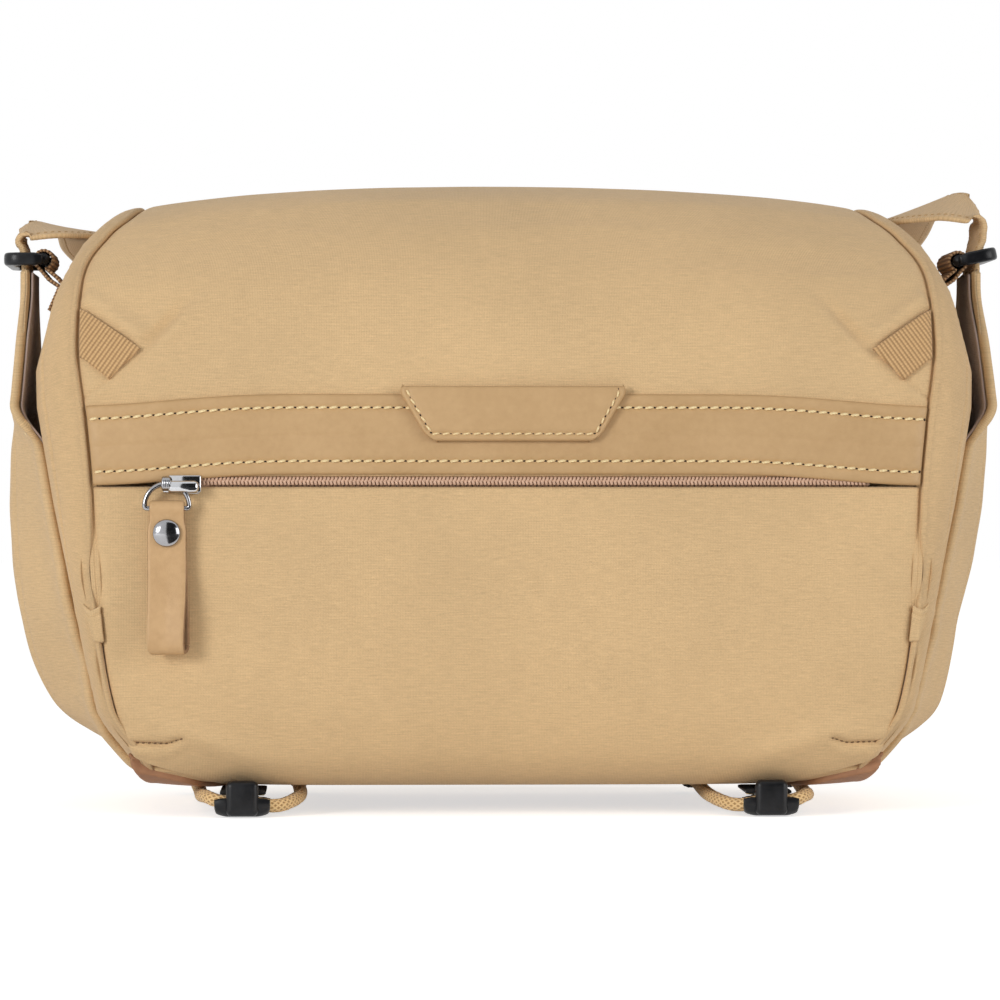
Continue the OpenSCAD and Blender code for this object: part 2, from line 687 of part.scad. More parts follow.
module bungee(side) {
    out = [for (p = bungee_half) [hook_offset + p[0], front_y + p[1], p[2]]];
    back = [for (i = [len(bungee_half) - 2:-1:0])
        [hook_offset - bungee_half[i][0], front_y + bungee_half[i][1], bungee_half[i][2]]];
    color(tan_fabric) sided(side) cord(concat(out, back), bungee_diameter, 10, 2);
}

/* ---- Lid ---- */

// Depth of the front pocket's cavity at a place: full in the middle, none round its edges.
function cavity(x, t) = pocket_depth
    * smooth((t - hinge_station) / 0.6) * smooth((slit_high + 0.8 - t) / 0.8)
    * smooth((1 - abs(x) / at(t)[2]) / 0.14);

module lid_layer(from, to, top, bottom, inset = 0) {
    layer(from, to, function (t) -(rim(t) - inset), function (t) rim(t) - inset, top, bottom, 16);
}

lid_foot = hinge_station + fold_gap;

module lid_board() {
    color(tan_fabric) lid_layer(lid_foot, zip_end, function (x, t) -fabric - cavity(x, t),
        function (x, t) -wall - cavity(x, t));
}

module lid_cover() {
    color(tan_fabric) lid_layer(slit_high, zip_end, function (x, t) 0,
        function (x, t) -fabric);
}

module lid_lining() {
    color(taupe) lid_layer(lid_foot + 0.3, zip_end - 0.3,
        function (x, t) -wall - 2 * slack - cavity(x, t),
        function (x, t) -wall - 2 * slack - lining - cavity(x, t), 0.6);
}

module front_pocket_panel() {
    color(tan_fabric) lid_layer(lid_foot, slit_low, function (x, t) 0,
        function (x, t) -fabric);
}

module leather_strip() {
    color(leather_tan) lid_layer(front_at(strip_bottom), front_at(strip_top),
        function (x, t) leather, function (x, t) 0, 0.4);
}

module badge_patch() {
    high = strip_top + badge_rise;
    low = high - badge_height;
    foot = badge_bottom_width / 2;
    head = badge_top_width / 2;
    color(leather_tan) patch([
        [badge_shift - foot, low], [badge_shift + foot, low],
        [badge_shift + head, high], [badge_shift - head, high]],
        2 * leather + 0.3, leather + 0.1, 3, 5);
}

module front_zip_coil() {
    color(webbing_tan) layer(slit_low, slit_high, function (t) -zip_left, function (t) zip_right,
        function (x, t) -0.2, function (x, t) -fabric, 12);
}

// Webbing sewn across each upper corner of the lid.
module webbing_tab(side) {
    corners = [[-9, 0.683], [-0.6, 0.719], [-0.6, 0.798], [-19.5, 0.731]];
    color(webbing_tan) sided(side) patch([for (c = corners) let (height = c[1] * crown_height)
        [at(front_at(height))[2] + c[0], height]], 1.5, 0.1, 4, 4);
}

module main_zip_lid_coil() {
    color(webbing_tan) {
        coil_run(0, coil_half);
        mirror([1, 0, 0]) coil_run(0, coil_half);
        cross_strip(zip_end, zip_end + zip_gap * coil_half / zip_groove,
            -fabric, -fabric - coil_thickness);
    }
}

/* ---- Front zip pull ---- */

slider_x = -zip_left + slider_length / 2 + 1.2;
slider_y = front_y - 0.3;                            // back face of the slider
slider_z = zip_height - 1.8;                         // the slider hangs a little below the coil
pin_y = slider_y - slider_thickness - wire / 2 - 0.4;
pin_z = slider_z + 0.9;
ring_bar_z = pin_z - pull_ring_height + wire;
pull_x = slider_x - slider_length / 2 + 1.2;

// A slider whose bridge holds the pull ring's top bar in an eye.
module front_slider() {
    eye = wire / 2 + 0.6;
    bridge = 4.6;
    color(steel) difference() {
        union() {
            translate([slider_x - slider_length / 2, slider_y - slider_thickness,
                slider_z - slider_width / 2])
                cube([slider_length, slider_thickness, slider_width]);
            translate([pull_x - bridge / 2, pin_y, pin_z]) rotate([0, 90, 0])
                cylinder(r = eye + 0.9, h = bridge);
        }
        translate([pull_x - bridge, pin_y, pin_z]) rotate([0, 90, 0])
            cylinder(r = eye, h = 2 * bridge);
        translate([slider_x - slider_length / 2 - 1, slider_y - 1.2, zip_height - 1.6])
            cube([slider_length - 3, 1.3, 3.2]);
    }
}

// A wire ring shaped like a D: its arch turns in the slider, its bar carries the leather.
module pull_ring() {
    arch = (pull_ring_width - wire) / 2;
    $fn = 20;
    color(steel) {
        translate([pull_x, pin_y, pin_z - arch]) rotate([90, 0, 0])
            rotate_extrude(angle = 180) translate([arch, 0]) circle(wire / 2);
        translate([pull_x - arch, pin_y, ring_bar_z]) rotate([0, 90, 0])
            cylinder(r = wire / 2, h = 2 * arch);
        for (x = [pull_x - arch, pull_x + arch]) {
            translate([x, pin_y, ring_bar_z]) cylinder(r = wire / 2, h = pin_z - arch - ring_bar_z);
            translate([x, pin_y, ring_bar_z]) sphere(wire / 2);
        }
    }
}

// A leather strip folded round the ring's lower bar and riveted to itself.
module leather_puller() {
    eye = wire / 2 + 0.3;
    thick = 2 * leather;
    foot = ring_bar_z - puller_length;
    inner = pull_ring_width - 2 * wire - 1.6;
    color(leather_tan) difference() {
        union() {
            translate([pull_x - inner / 2, pin_y, ring_bar_z]) rotate([0, 90, 0])
                cylinder(r = eye + leather, h = inner);
            translate([pull_x - inner / 2, pin_y - thick / 2, ring_bar_z - 5])
                cube([inner, thick, 5]);
            translate([pull_x - puller_width / 2, pin_y - thick / 2, foot])
                cube([puller_width, thick, puller_length - 3]);
        }
        translate([pull_x - inner, pin_y, ring_bar_z]) rotate([0, 90, 0])
            cylinder(r = eye, h = 2 * inner);
    }
}

module puller_rivet() {
    color(steel) translate([pull_x, pin_y - leather - 0.02, ring_bar_z - rivet_drop])
        rotate([90, 0, 0])
        rotate_extrude() intersection() {
            translate([0, -7.2]) circle(9);
            square([rivet_diameter / 2, 4]);
        }
}

/* ---- Main zip sliders ---- */

main_at = zip_end + zip_gap / 2;
main_tilt = atan2(outward(main_at)[0], outward(main_at)[1]);
main_slider_x = 9;

// Places a piece on the rear run of the main zip, +Z out of the bag and +Y down the back.
module on_main_zip(side) {
    p = skin(main_slider_x, main_at, -fabric + 0.3);
    sided(side) translate(p) rotate([-main_tilt, 0, 0]) children();
}

plate = 1.2;                                         // thickness of a main slider's plate
pull_rod = 0.8;                                      // radius of a main zip pull's wire
bridge_radius = 2.2;                                 // outside of the bridge that holds the wire
bridge_lift = fabric + plate + bridge_radius + 0.2;  // height of the wire over the zip

module main_slider(side) {
    half = main_slider_length / 2;
    neck = 2.4;
    color(steel) on_main_zip(side) difference() {
        union() {
            translate([-half, -neck / 2, 0]) cube([main_slider_length, neck, fabric + plate]);
            translate([-half, -main_slider_width / 2, fabric + plate])
                cube([main_slider_length, main_slider_width, plate]);
            translate([-1.5, 0, bridge_lift]) rotate([0, 90, 0])
                cylinder(r = bridge_radius, h = 6);
        }
        translate([-2.5, 0, bridge_lift]) rotate([0, 90, 0])
            cylinder(r = pull_rod + 0.3, h = 8);
    }
}

// A cord-wrapped pull whose wire turns in the slider; it lies down the back of the bag.
module main_pull(side) {
    x0 = -3;
    x1 = 6;
    $fn = 16;
    color(black) on_main_zip(side) translate([0, 0, bridge_lift]) {
        translate([x0, 0, 0]) rotate([0, 90, 0]) cylinder(r = pull_rod, h = x1 - x0);
        for (x = [x0, x1]) translate([x, 0, 0]) {
            sphere(pull_rod);
            rotate([-90, 0, 0]) cylinder(r = pull_rod, h = pull_wire_length);
        }
        translate([(x0 + x1 - grip_width) / 2, pull_wire_length - 1, -grip_thickness / 2])
            cube([grip_width, grip_length, grip_thickness]);
    }
}

front_lower_panel();
rear_top_strip();
back_panel();
base_panel();
base_cover();
side_gusset(-1);  // side_gusset_left
side_gusset(1);  // side_gusset_right
side_board(-1);  // side_board_left
side_board(1);  // side_board_right
compartment_lining();
divider(-1);  // divider_left
divider(1);  // divider_right
main_zip_body_coil();
zip_garage(-1);  // zip_garage_left
zip_garage(1);  // zip_garage_right
back_pad(-1);  // back_pad_left
back_pad(1);  // back_pad_right
wing_pocket(-1);  // wing_pocket_left
wing_pocket(1);  // wing_pocket_right
wing_lining(-1);  // wing_lining_left
wing_lining(1);  // wing_lining_right
ring_webbing(-1);  // ring_webbing_left
ring_webbing(1);  // ring_webbing_right
shoulder_strap();
strap_adjuster();
hook_tab(-1);  // hook_tab_left
hook_tab(1);  // hook_tab_right
cord_hook(-1);  // cord_hook_left
cord_hook(1);  // cord_hook_right
cord_anchor(-1);  // cord_anchor_left
cord_anchor(1);  // cord_anchor_right
bungee(-1);  // bungee_left
bungee(1);  // bungee_right
lid_board();
lid_cover();
lid_lining();
front_pocket_panel();
leather_strip();
badge_patch();
front_zip_coil();
webbing_tab(-1);  // webbing_tab_left
webbing_tab(1);  // webbing_tab_right
main_zip_lid_coil();
front_slider();
pull_ring();
leather_puller();
puller_rivet();
side_ring(-1, 0);  // side_ring_left
side_ring(1, right_ring_tilt);  // side_ring_right
main_slider(-1);  // main_slider_left
main_slider(1);  // main_slider_right
main_pull(-1);  // main_pull_left
main_pull(1);  // main_pull_right
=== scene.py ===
"""Looks of a padded field pack: fabric panels, leather trim, zips, webbing, rings and cord loops."""

import json
import logging
import math
from dataclasses import dataclass, field
from enum import Enum
from typing import Callable, Sequence

import bpy
import numpy as np
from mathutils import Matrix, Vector


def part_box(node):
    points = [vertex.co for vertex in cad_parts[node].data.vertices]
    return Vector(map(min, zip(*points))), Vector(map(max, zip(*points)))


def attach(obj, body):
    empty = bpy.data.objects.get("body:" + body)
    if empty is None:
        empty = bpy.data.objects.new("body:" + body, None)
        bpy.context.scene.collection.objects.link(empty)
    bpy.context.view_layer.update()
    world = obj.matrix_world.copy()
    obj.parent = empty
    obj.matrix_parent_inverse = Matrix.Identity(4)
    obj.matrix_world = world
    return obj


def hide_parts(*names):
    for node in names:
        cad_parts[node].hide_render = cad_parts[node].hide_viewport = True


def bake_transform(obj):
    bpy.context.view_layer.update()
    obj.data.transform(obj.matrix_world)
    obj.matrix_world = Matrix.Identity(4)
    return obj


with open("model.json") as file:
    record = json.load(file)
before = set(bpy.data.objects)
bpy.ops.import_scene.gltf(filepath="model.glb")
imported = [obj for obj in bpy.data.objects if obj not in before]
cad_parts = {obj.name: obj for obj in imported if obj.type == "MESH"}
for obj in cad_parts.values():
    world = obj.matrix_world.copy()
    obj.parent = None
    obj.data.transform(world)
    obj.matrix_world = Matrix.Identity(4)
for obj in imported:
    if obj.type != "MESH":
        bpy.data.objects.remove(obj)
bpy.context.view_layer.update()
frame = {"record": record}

LOG = logging.getLogger("field_pack")
UV_NAME = "weave"
MIRROR = np.array([-1.0, 1.0, 1.0])

Array = np.ndarray
Colour = tuple[float, float, float]
Face = tuple[int, ...]
Finish = bpy.types.Material
Node = bpy.types.Node
Piece = bpy.types.Object
Socket = bpy.types.NodeSocket
Spot = tuple[float, float, float]


class Side(Enum):
    """A side of the pack, as seen from the front."""

    LEFT = -1
    RIGHT = 1

    @property
    def word(self) -> str:
        """The side's word in a node or piece name."""
        return self.name.lower()


# ---------------------------------------------------------------------------
# Numbers and points
# ---------------------------------------------------------------------------


def smooth(value: Array | float) -> Array:
    """Ease from 0 to 1 over the same range."""
    g = np.clip(value, 0.0, 1.0)
    return g * g * (3.0 - 2.0 * g)


def bump(value: Array | float, centre: float, width: float) -> Array:
    """A smooth bell of height 1 round a centre."""
    return np.exp(-(((np.asarray(value) - centre) / width) ** 2))


def unit(vectors: Array) -> Array:
    """Vectors of the same directions and length 1."""
    length = np.linalg.norm(vectors, axis=-1, keepdims=True)
    return vectors / np.maximum(length, 1e-12)


def spread(*values: Array | float) -> list[Array]:
    """Numbers and arrays spread to one shape."""
    return np.broadcast_arrays(*(np.asarray(value, float) for value in values))


def noise(u: Array, v: Array, seed: int, octaves: int = 3) -> Array:
    """Smooth value noise over a plane.

    Args:
        u: First coordinate, in cells.
        v: Second coordinate, in cells.
        seed: Picks the pattern.
        octaves: How many finer layers are added.

    Returns:
        Values of about -1 to 1, shaped as u.
    """
    size = 64
    table = np.random.default_rng(seed).uniform(-1.0, 1.0, (size, size))
    total = np.zeros(np.broadcast(u, v).shape)
    weight = 1.0
    for octave in range(octaves):
        a = np.asarray(u) * 2.0**octave + 17.0 * octave
        b = np.asarray(v) * 2.0**octave + 29.0 * octave
        i = np.floor(a).astype(int)
        j = np.floor(b).astype(int)
        f = smooth(a - i)
        g = smooth(b - j)
        low = table[i % size, j % size] * (1 - f) + table[(i + 1) % size, j % size] * f
        high = table[i % size, (j + 1) % size] * (1 - f) + table[(i + 1) % size, (j + 1) % size] * f
        total = total + weight * (low * (1 - g) + high * g)
        weight *= 0.5
    return total / 1.6


def cubic(a: Array, b: Array, c: Array, d: Array, f: Array) -> Array:
    """A share f of the way from b to c, on the Catmull-Rom curve through a, b, c and d."""
    first = f * (c - a) / 2
    return b + first + f**2 * (a - 2.5 * b + 2 * c - d / 2) + f**3 * (1.5 * b - a / 2 - 1.5 * c + d / 2)


def catmull(rows: Array, t: Array | float, closed: bool = False) -> Array:
    """Points of a Catmull-Rom curve through rows, at places counted in rows.

    Args:
        rows: The curve's own points, one a row.
        t: Places along it; whole numbers are the rows.
        closed: True where the last row leads on to the first.

    Returns:
        One point for each place.
    """
    t = np.asarray(t, dtype=float)
    count = len(rows)
    i = np.floor(t).astype(int)
    if not closed:
        i = np.clip(i, 0, count - 2)
    f = (t - i)[..., None]

    def row(k: Array) -> Array:
        """Rows by number, wrapped or held at the ends."""
        return rows[k % count] if closed else rows[np.clip(k, 0, count - 1)]

    return cubic(row(i - 1), row(i), row(i + 1), row(i + 2), f)


def joint_record(name: str) -> dict:
    """A joint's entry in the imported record."""
    for joint in frame["record"]["behaviour"]["joints"]:
        if joint["name"] == name:
            return joint
    raise KeyError(name)


LID_HINGE = joint_record("lid_hinge")["pos_m"]
FRONT_Y = float(LID_HINGE[1])
HINGE_Z = float(LID_HINGE[2])


@dataclass(frozen=True)
class BodyLines:
    """The pack's lines from the front foot over the crown, down the back and along the base."""

    panel_width: float = 0.279
    depth: float = 0.145
    base_height: float = 0.0095
    crown_height: float = 0.210
    edge_drop: float = 0.002
    crown_fall: float = 0.0055
    gusset_depth: float = 0.019
    zip_groove: float = 0.0032
    zip_corner: float = 0.020
    zip_end: float = 13.0
    back_seam: float = 15.0
    base_seam: float = 19.5
    corner_run: float = 0.8
    rows: tuple[tuple[float, float, float], ...] = (
        (0.042, 0.036, 0.862), (0.008, 0.100, 0.894), (0.000, 0.197, 0.926), (0.000, 0.337, 0.948),
        (0.000, 0.486, 0.958), (0.003, 0.596, 0.972), (0.028, 0.711, 0.993), (0.083, 0.815, 0.990),
        (0.145, 0.880, 0.977), (0.221, 0.935, 0.936), (0.317, 0.976, 0.888), (0.469, 1.000, 0.858),
        (0.648, 0.992, 0.848), (0.828, 0.952, 0.840), (0.938, 0.880, 0.842), (0.993, 0.763, 0.858),
        (1.000, 0.508, 0.885), (1.000, 0.253, 0.885), (0.986, 0.089, 0.848), (0.938, 0.015, 0.806),
        (0.759, 0.000, 0.785), (0.517, 0.000, 0.785), (0.300, 0.000, 0.798), (0.125, 0.002, 0.832),
    )
    side_shares: tuple[tuple[float, float], ...] = (
        (0.00, 0.850), (0.05, 0.942), (0.10, 0.955), (0.20, 0.985), (0.30, 1.018), (0.46, 1.065),
        (0.62, 1.105), (0.68, 1.108), (0.78, 1.075), (0.86, 1.025), (0.91, 0.970), (1.00, 0.850),
    )

    @property
    def count(self) -> int:
        """How many stations the lines have."""
        return len(self.rows)

    @property
    def height(self) -> float:
        """Height of the padded body."""
        return self.crown_height - self.base_height

    def at(self, t: Array | float) -> Array:
        """Depth, height and half width at stations t."""
        rows = np.array(self.rows)
        height = self.base_height + rows[:, 1] * self.height
        knots = np.stack([rows[:, 0] * self.depth, height, rows[:, 2] * self.panel_width / 2], axis=1)
        return catmull(knots, t, closed=True)

    def outward(self, t: Array | float) -> Array:
        """The normal at stations t, in depth and height."""
        run = self.at(np.asarray(t) + 0.02) - self.at(np.asarray(t) - 0.02)
        return unit(np.stack([-run[..., 1], run[..., 0]], axis=-1))

    def skin(self, x: Array | float, t: Array | float, out: Array | float) -> Array:
        """Points over the skin: across, round the lines, and out along the normal."""
        x, t, out = spread(x, t, out)
        p, n = self.at(t), self.outward(t)
        share = np.minimum(np.abs(x) / p[..., 2], 1.0)
        crown = smooth((t - 6) / 3) * (1 - smooth((t - 12) / 3))
        rise = out - self.edge_drop * share**6 - self.crown_fall * crown * share**2
        return np.stack([x, FRONT_Y + p[..., 0] + n[..., 0] * rise, p[..., 1] + n[..., 1] * rise], axis=-1)

    def rim(self, t: Array | float) -> Array:
        """Half width of the opening that the main zip follows."""
        t = np.asarray(t, float) % self.count
        u = np.clip((t - self.zip_end + self.corner_run) / self.corner_run, 0, 1)
        rear = 1 - np.sqrt(1 - u * u)
        after = 1 - smooth((t - self.base_seam) / 3)
        corner = np.where(t < 8, 0.0, np.where(t < self.zip_end, rear, after))
        return self.at(t)[..., 2] - self.zip_corner * corner

    @property
    def rear_gap(self) -> float:
        """The zip groove's width over the back, in stations."""
        return self.zip_groove / self.rear_run

    @property
    def rear_run(self) -> float:
        """How long one station is at the main zip's rear run."""
        return float(np.linalg.norm(self.at(self.zip_end + 0.5)[:2] - self.at(self.zip_end - 0.5)[:2]))

    def front_at(self, height: Array | float) -> Array:
        """The station where the front reaches a height."""
        t = np.arange(0, 11.01, 0.02)
        return np.interp(height, self.at(t)[:, 1], t)

    def station(self, height: float) -> float:
        """The front's station at one height, as a plain number."""
        return float(self.front_at(height))

    def panel_half(self, t: Array | float) -> Array:
        """Half width of the back and base, out to the gussets."""
        return self.rim(t) + self.zip_groove

    def share(self, height: Array | float) -> Array:
        """A height as a share of the padded body's height."""
        return (np.asarray(height) - self.base_height) / self.height

    def side_half(self, height: Array | float) -> Array:
        """Half width of the padded side at a height."""
        table = np.array(self.side_shares)
        return self.panel_width / 2 * np.interp(self.share(height), table[:, 0], table[:, 1])

    def drawn_in(self, t: Array | float) -> Array:
        """The gusset's rear edge: the lines drawn in towards the middle of the side."""
        p = self.at(t)
        middle = np.array([self.depth, self.base_height + self.crown_height]) / 2
        span = np.array([self.depth, self.height]) / 2
        q = middle + (p[..., :2] - middle) * (1 - self.gusset_depth / span)
        return np.stack([np.zeros_like(q[..., 0]), FRONT_Y + q[..., 0], q[..., 1]], axis=-1)


LINES = BodyLines()


# ---------------------------------------------------------------------------
# Meshes
# ---------------------------------------------------------------------------


@dataclass
class MeshParts:
    """Points, faces, texture places and finish numbers that grow into one mesh."""

    points: list[Array] = field(default_factory=list)
    faces: list[Face] = field(default_factory=list)
    places: list[Array] = field(default_factory=list)
    slots: list[int] = field(default_factory=list)
    size: int = 0

    def add(self, points: Array, places: Array, faces: Sequence[Face], slot: int = 0) -> None:
        """Adds a block of points with its faces.

        Args:
            points: The block's points, one a row.
            places: Each point's place on the cloth, in metres.
            faces: Faces that count from the block's first point.
            slot: The number of the finish that the faces take.
        """
        base = self.size
        self.points.append(np.asarray(points, float).reshape(-1, 3))
        self.places.append(np.asarray(places, float).reshape(-1, 2))
        self.faces.extend(tuple(base + k for k in face) for face in faces)
        self.slots.extend([slot] * len(faces))
        self.size += len(self.points[-1])

    def build(self, name: str, finishes: Sequence[Finish]) -> Piece:
        """Makes the object.

        Args:
            name: The piece's name.
            finishes: The materials, by slot number.

        Returns:
            The new object, shaded smooth, with its cloth places as a UV map.
        """
        mesh = bpy.data.meshes.new(name)
        points = np.concatenate(self.points)
        mesh.from_pydata(points.tolist(), [], self.faces)
        places = np.concatenate(self.places)
        layer = mesh.uv_layers.new(name=UV_NAME)
        corners = np.empty(len(mesh.loops), dtype=np.int64)
        mesh.loops.foreach_get("vertex_index", corners)
        layer.data.foreach_set("uv", places[corners].astype(np.float32).ravel())
        mesh.polygons.foreach_set("material_index", self.slots)
        mesh.polygons.foreach_set("use_smooth", [True] * len(mesh.polygons))
        for finish in finishes:
            mesh.materials.append(finish)
        mesh.validate()
        mesh.update()
        return placed(name, mesh)


def placed(name: str, data: bpy.types.ID) -> Piece:
    """A new object of a mesh, a lamp or a camera, in the scene."""
    thing = bpy.data.objects.new(name, data)
    bpy.context.scene.collection.objects.link(thing)
    return thing


def grid_faces(rows: int, cols: int, flip: bool = False, start: int = 0) -> list[Face]:
    """Quads between the points of a grid that is stored row by row.

    Args:
        rows: How many rows the grid has.
        cols: How many points a row has.
        flip: True to turn the faces over.
        start: The number of the grid's first point.

    Returns:
        The faces.
    """
    faces = []
    for i in range(rows - 1):
        for j in range(cols - 1):
            first = start + i * cols + j
            quad = (first, first + 1, first + cols + 1, first + cols)
            faces.append(quad[::-1] if flip else quad)
    return faces


def loop_faces(
    count: int, sides: int, closed: bool = False, flip: bool = False, caps: bool = False
) -> list[Face]:
    """Quads round a row of loops, loop after loop, and then a face at each end.

    Args:
        count: How many loops there are.
        sides: How many points a loop has.
        closed: True where the last loop leads on to the first.
        flip: True to turn the faces over.
        caps: True to close both ends.

    Returns:
        The faces.
    """
    faces = []
    for i in range(count if closed else count - 1):
        k = (i + 1) % count
        for j in range(sides):
            m = (j + 1) % sides
            faces.append((i * sides + j, i * sides + m, k * sides + m, k * sides + j))
    if caps:
        faces += [tuple(range(sides - 1, -1, -1)), tuple((count - 1) * sides + j for j in range(sides))]
    return [face[::-1] for face in faces] if flip else faces


def normals(grid: Array) -> Array:
    """Unit normals of a grid of points, by rows and columns."""
    return unit(np.cross(np.gradient(grid, axis=1), np.gradient(grid, axis=0)))


def arc(points: Array) -> Array:
    """Length run up to each point of a line."""
    steps = np.linalg.norm(np.diff(points, axis=0), axis=1)
    return np.concatenate([[0.0], np.cumsum(steps)])


def cloth_places(grid: Array) -> Array:
    """Each grid point's place on the flat cloth, in metres, from its middle column and row."""
    rows, cols = grid.shape[:2]
    v = arc(grid[:, cols // 2])
    u = arc(grid[rows // 2])
    u = u - u[cols // 2]
    return np.stack(np.meshgrid(u, v), axis=-1)


def shell(
    parts: MeshParts,
    outer: Array,
    thickness: float,
    places: Array | None = None,
    wrap: bool = False,
    slot: int = 0,
    inward: Array | None = None,
) -> None:
    """Adds a closed sheet of cloth with rounded edges under a grid of points.

    Args:
        parts: The mesh that grows.
        outer: The outer face, by rows and columns, with its normals pointing out.
        thickness: How thick the sheet is.
        places: Each point's place on the cloth; worked out where it isn't given.
        wrap: True where the last row leads on to the first.
        slot: The number of the finish.
        inward: Unit vectors into the sheet; the opposite of the normals where not given.
    """
    rows, cols = outer.shape[:2]
    into = -normals(outer) if inward is None else inward
    inner = outer + into * thickness
    places = cloth_places(outer) if places is None else places
    middle = (outer + inner) / 2
    swell = thickness * 0.45
    left = middle[:, 0] + unit(outer[:, 0] - outer[:, 1]) * swell
    right = middle[:, -1] + unit(outer[:, -1] - outer[:, -2]) * swell
    if wrap:
        ring = np.concatenate([outer, right[:, None], inner[:, ::-1], left[:, None]], axis=1)
        spots = np.concatenate([places, places[:, -1:], places[:, ::-1], places[:, :1]], axis=1)
        parts.add(ring, spots, loop_faces(rows, ring.shape[1], closed=True), slot)
        return
    low = middle[0] + unit(outer[0] - outer[1]) * swell
    high = middle[-1] + unit(outer[-1] - outer[-2]) * swell
    count = rows * cols
    border = (
        [(0, j) for j in range(cols)]
        + [(i, cols - 1) for i in range(1, rows)]
        + [(rows - 1, j) for j in range(cols - 2, -1, -1)]
        + [(i, 0) for i in range(rows - 2, 0, -1)]
    )
    edge_points = [
        low[j] if i == 0 else high[j] if i == rows - 1 else left[i] if j == 0 else right[i] for i, j in border
    ]
    index = [i * cols + j for i, j in border]
    faces = grid_faces(rows, cols) + grid_faces(rows, cols, flip=True, start=count)
    total = len(border)
    for k in range(total):
        m = (k + 1) % total
        faces.append((index[m], index[k], 2 * count + k, 2 * count + m))
        faces.append((2 * count + m, 2 * count + k, count + index[k], count + index[m]))
    spots = places.reshape(-1, 2)
    parts.add(
        np.concatenate([outer.reshape(-1, 3), inner.reshape(-1, 3), np.array(edge_points)]),
        np.concatenate([spots, spots, spots[index]]),
        faces,
        slot,
    )


def frames_along(path: Array, up: Array | None = None) -> tuple[Array, Array, Array]:
    """Directions along a path and across it.

    Args:
        path: The path's points.
        up: A direction for each point that the second answer keeps near to; turned least where not given.

    Returns:
        The run, and two unit vectors across it, for each point.
    """
    run = unit(np.gradient(path, axis=0))
    if up is not None:
        first = unit(up - run * np.sum(up * run, axis=1, keepdims=True))
        return run, first, np.cross(run, first)
    seed = np.array([0.0, 0.0, 1.0]) if abs(run[0][2]) < 0.9 else np.array([1.0, 0.0, 0.0])
    first = [unit(np.cross(run[0], seed))]
    for direction in run[1:]:
        last = first[-1]
        first.append(unit(last - direction * float(np.dot(last, direction))))
    first_array = np.array(first)
    return run, first_array, np.cross(run, first_array)


def tube(
    parts: MeshParts,
    path: Array,
    radius: Array | float,
    sides: int = 12,
    slot: int = 0,
    up: Array | None = None,
    relief: Callable[[Array, Array], Array] | None = None,
    closed: bool = False,
) -> None:
    """Adds a round tube along a path.

    Args:
        parts: The mesh that grows.
        path: The centre line's points.
        radius: The tube's radius, the same all along or one for each point.
        sides: How many sides it has.
        slot: The number of the finish.
        up: Directions that hold the tube's turn.
        relief: Adds to the radius by turn, 0 to 1, and by length along, in metres.
        closed: True where the last ring leads on to the first.
    """
    _, first, second = frames_along(path, up)
    turn = np.arange(sides) / sides
    along = arc(path)
    size = np.broadcast_to(np.asarray(radius, float), (len(path),))[:, None] * np.ones(sides)
    if relief is not None:
        size = size + relief(turn[None, :], along[:, None])
    angle = 2 * math.pi * turn
    spokes = np.cos(angle)[None, :, None] * first[:, None] + np.sin(angle)[None, :, None] * second[:, None]
    ring = path[:, None] + size[..., None] * spokes
    girth = turn[None, :] * 2 * math.pi * float(np.mean(size))
    spots = np.stack(np.broadcast_arrays(girth, along[:, None]), axis=-1)
    parts.add(ring, spots, loop_faces(len(path), sides, closed=closed, caps=not closed), slot)


def band(
    parts: MeshParts,
    path: Array,
    facing: Array,
    width: float,
    thickness: float,
    cols: int = 12,
    relief: Callable[[Array, Array], Array] | None = None,
) -> None:
    """Adds flat webbing along a path, with a soft rounded edge.

    Args:
        parts: The mesh that grows.
        path: The centre line's points.
        facing: The direction of the webbing's width at each point.
        width: The webbing's width.
        thickness: The webbing's thickness.
        cols: How many points lie across one face.
        relief: Adds to both faces' height by place across, -1 to 1, and by length along.
    """
    _, across, up = frames_along(path, facing)
    f = np.linspace(-1, 1, cols)
    profile = np.sqrt(np.clip(1 - np.abs(f) ** 8, 0, 1)) * 0.35 + 0.65
    along = arc(path)
    height = thickness / 2 * profile[None, :] * np.ones((len(path), 1))
    if relief is not None:
        height = height + relief(f[None, :], along[:, None])
    side = across[:, None] * (f * width / 2)[None, :, None]
    top = path[:, None] + side + up[:, None] * height[..., None]
    under = path[:, None] + side - up[:, None] * height[..., None]
    ring = np.concatenate([top, under[:, ::-1]], axis=1)
    u = np.broadcast_to((f * width / 2)[None, :], height.shape)
    v = np.broadcast_to(along[:, None], height.shape)
    spots = np.concatenate([np.stack([u, v], -1), np.stack([u[:, ::-1], v], -1)], axis=1)
    parts.add(ring, spots, loop_faces(len(path), 2 * cols, flip=True, caps=True))


def between(place: Array | float, along: Array, rows: Array) -> Array:
    """Rows of three numbers read off at places, where along says the place of each row."""
    return np.stack([np.interp(place, along, rows[:, k]) for k in range(3)], axis=-1)


def ribbed(height: float, pitch: float = 0.0012) -> Callable[[Array, Array], Array]:
    """The relief of ribs across a band of webbing, for band()."""
    return lambda _, along: height * np.sin(2 * math.pi * along / pitch)


def resample(path: Array, step: float) -> Array:
    """The same line with points about a step apart."""
    along = arc(path)
    count = max(int(round(along[-1] / step)), 2)
    return between(np.linspace(0, along[-1], count + 1), along, path)


# ---------------------------------------------------------------------------
# Finishes
# ---------------------------------------------------------------------------


def linear(colour: Colour) -> tuple[float, float, float, float]:
    """A screen colour, 0 to 255, as the shader's linear colour."""
    def channel(value: float) -> float:
        """One channel from 0 to 255 to linear light."""
        c = value / 255
        return c / 12.92 if c <= 0.04045 else ((c + 0.055) / 1.055) ** 2.4

    return (channel(colour[0]), channel(colour[1]), channel(colour[2]), 1.0)


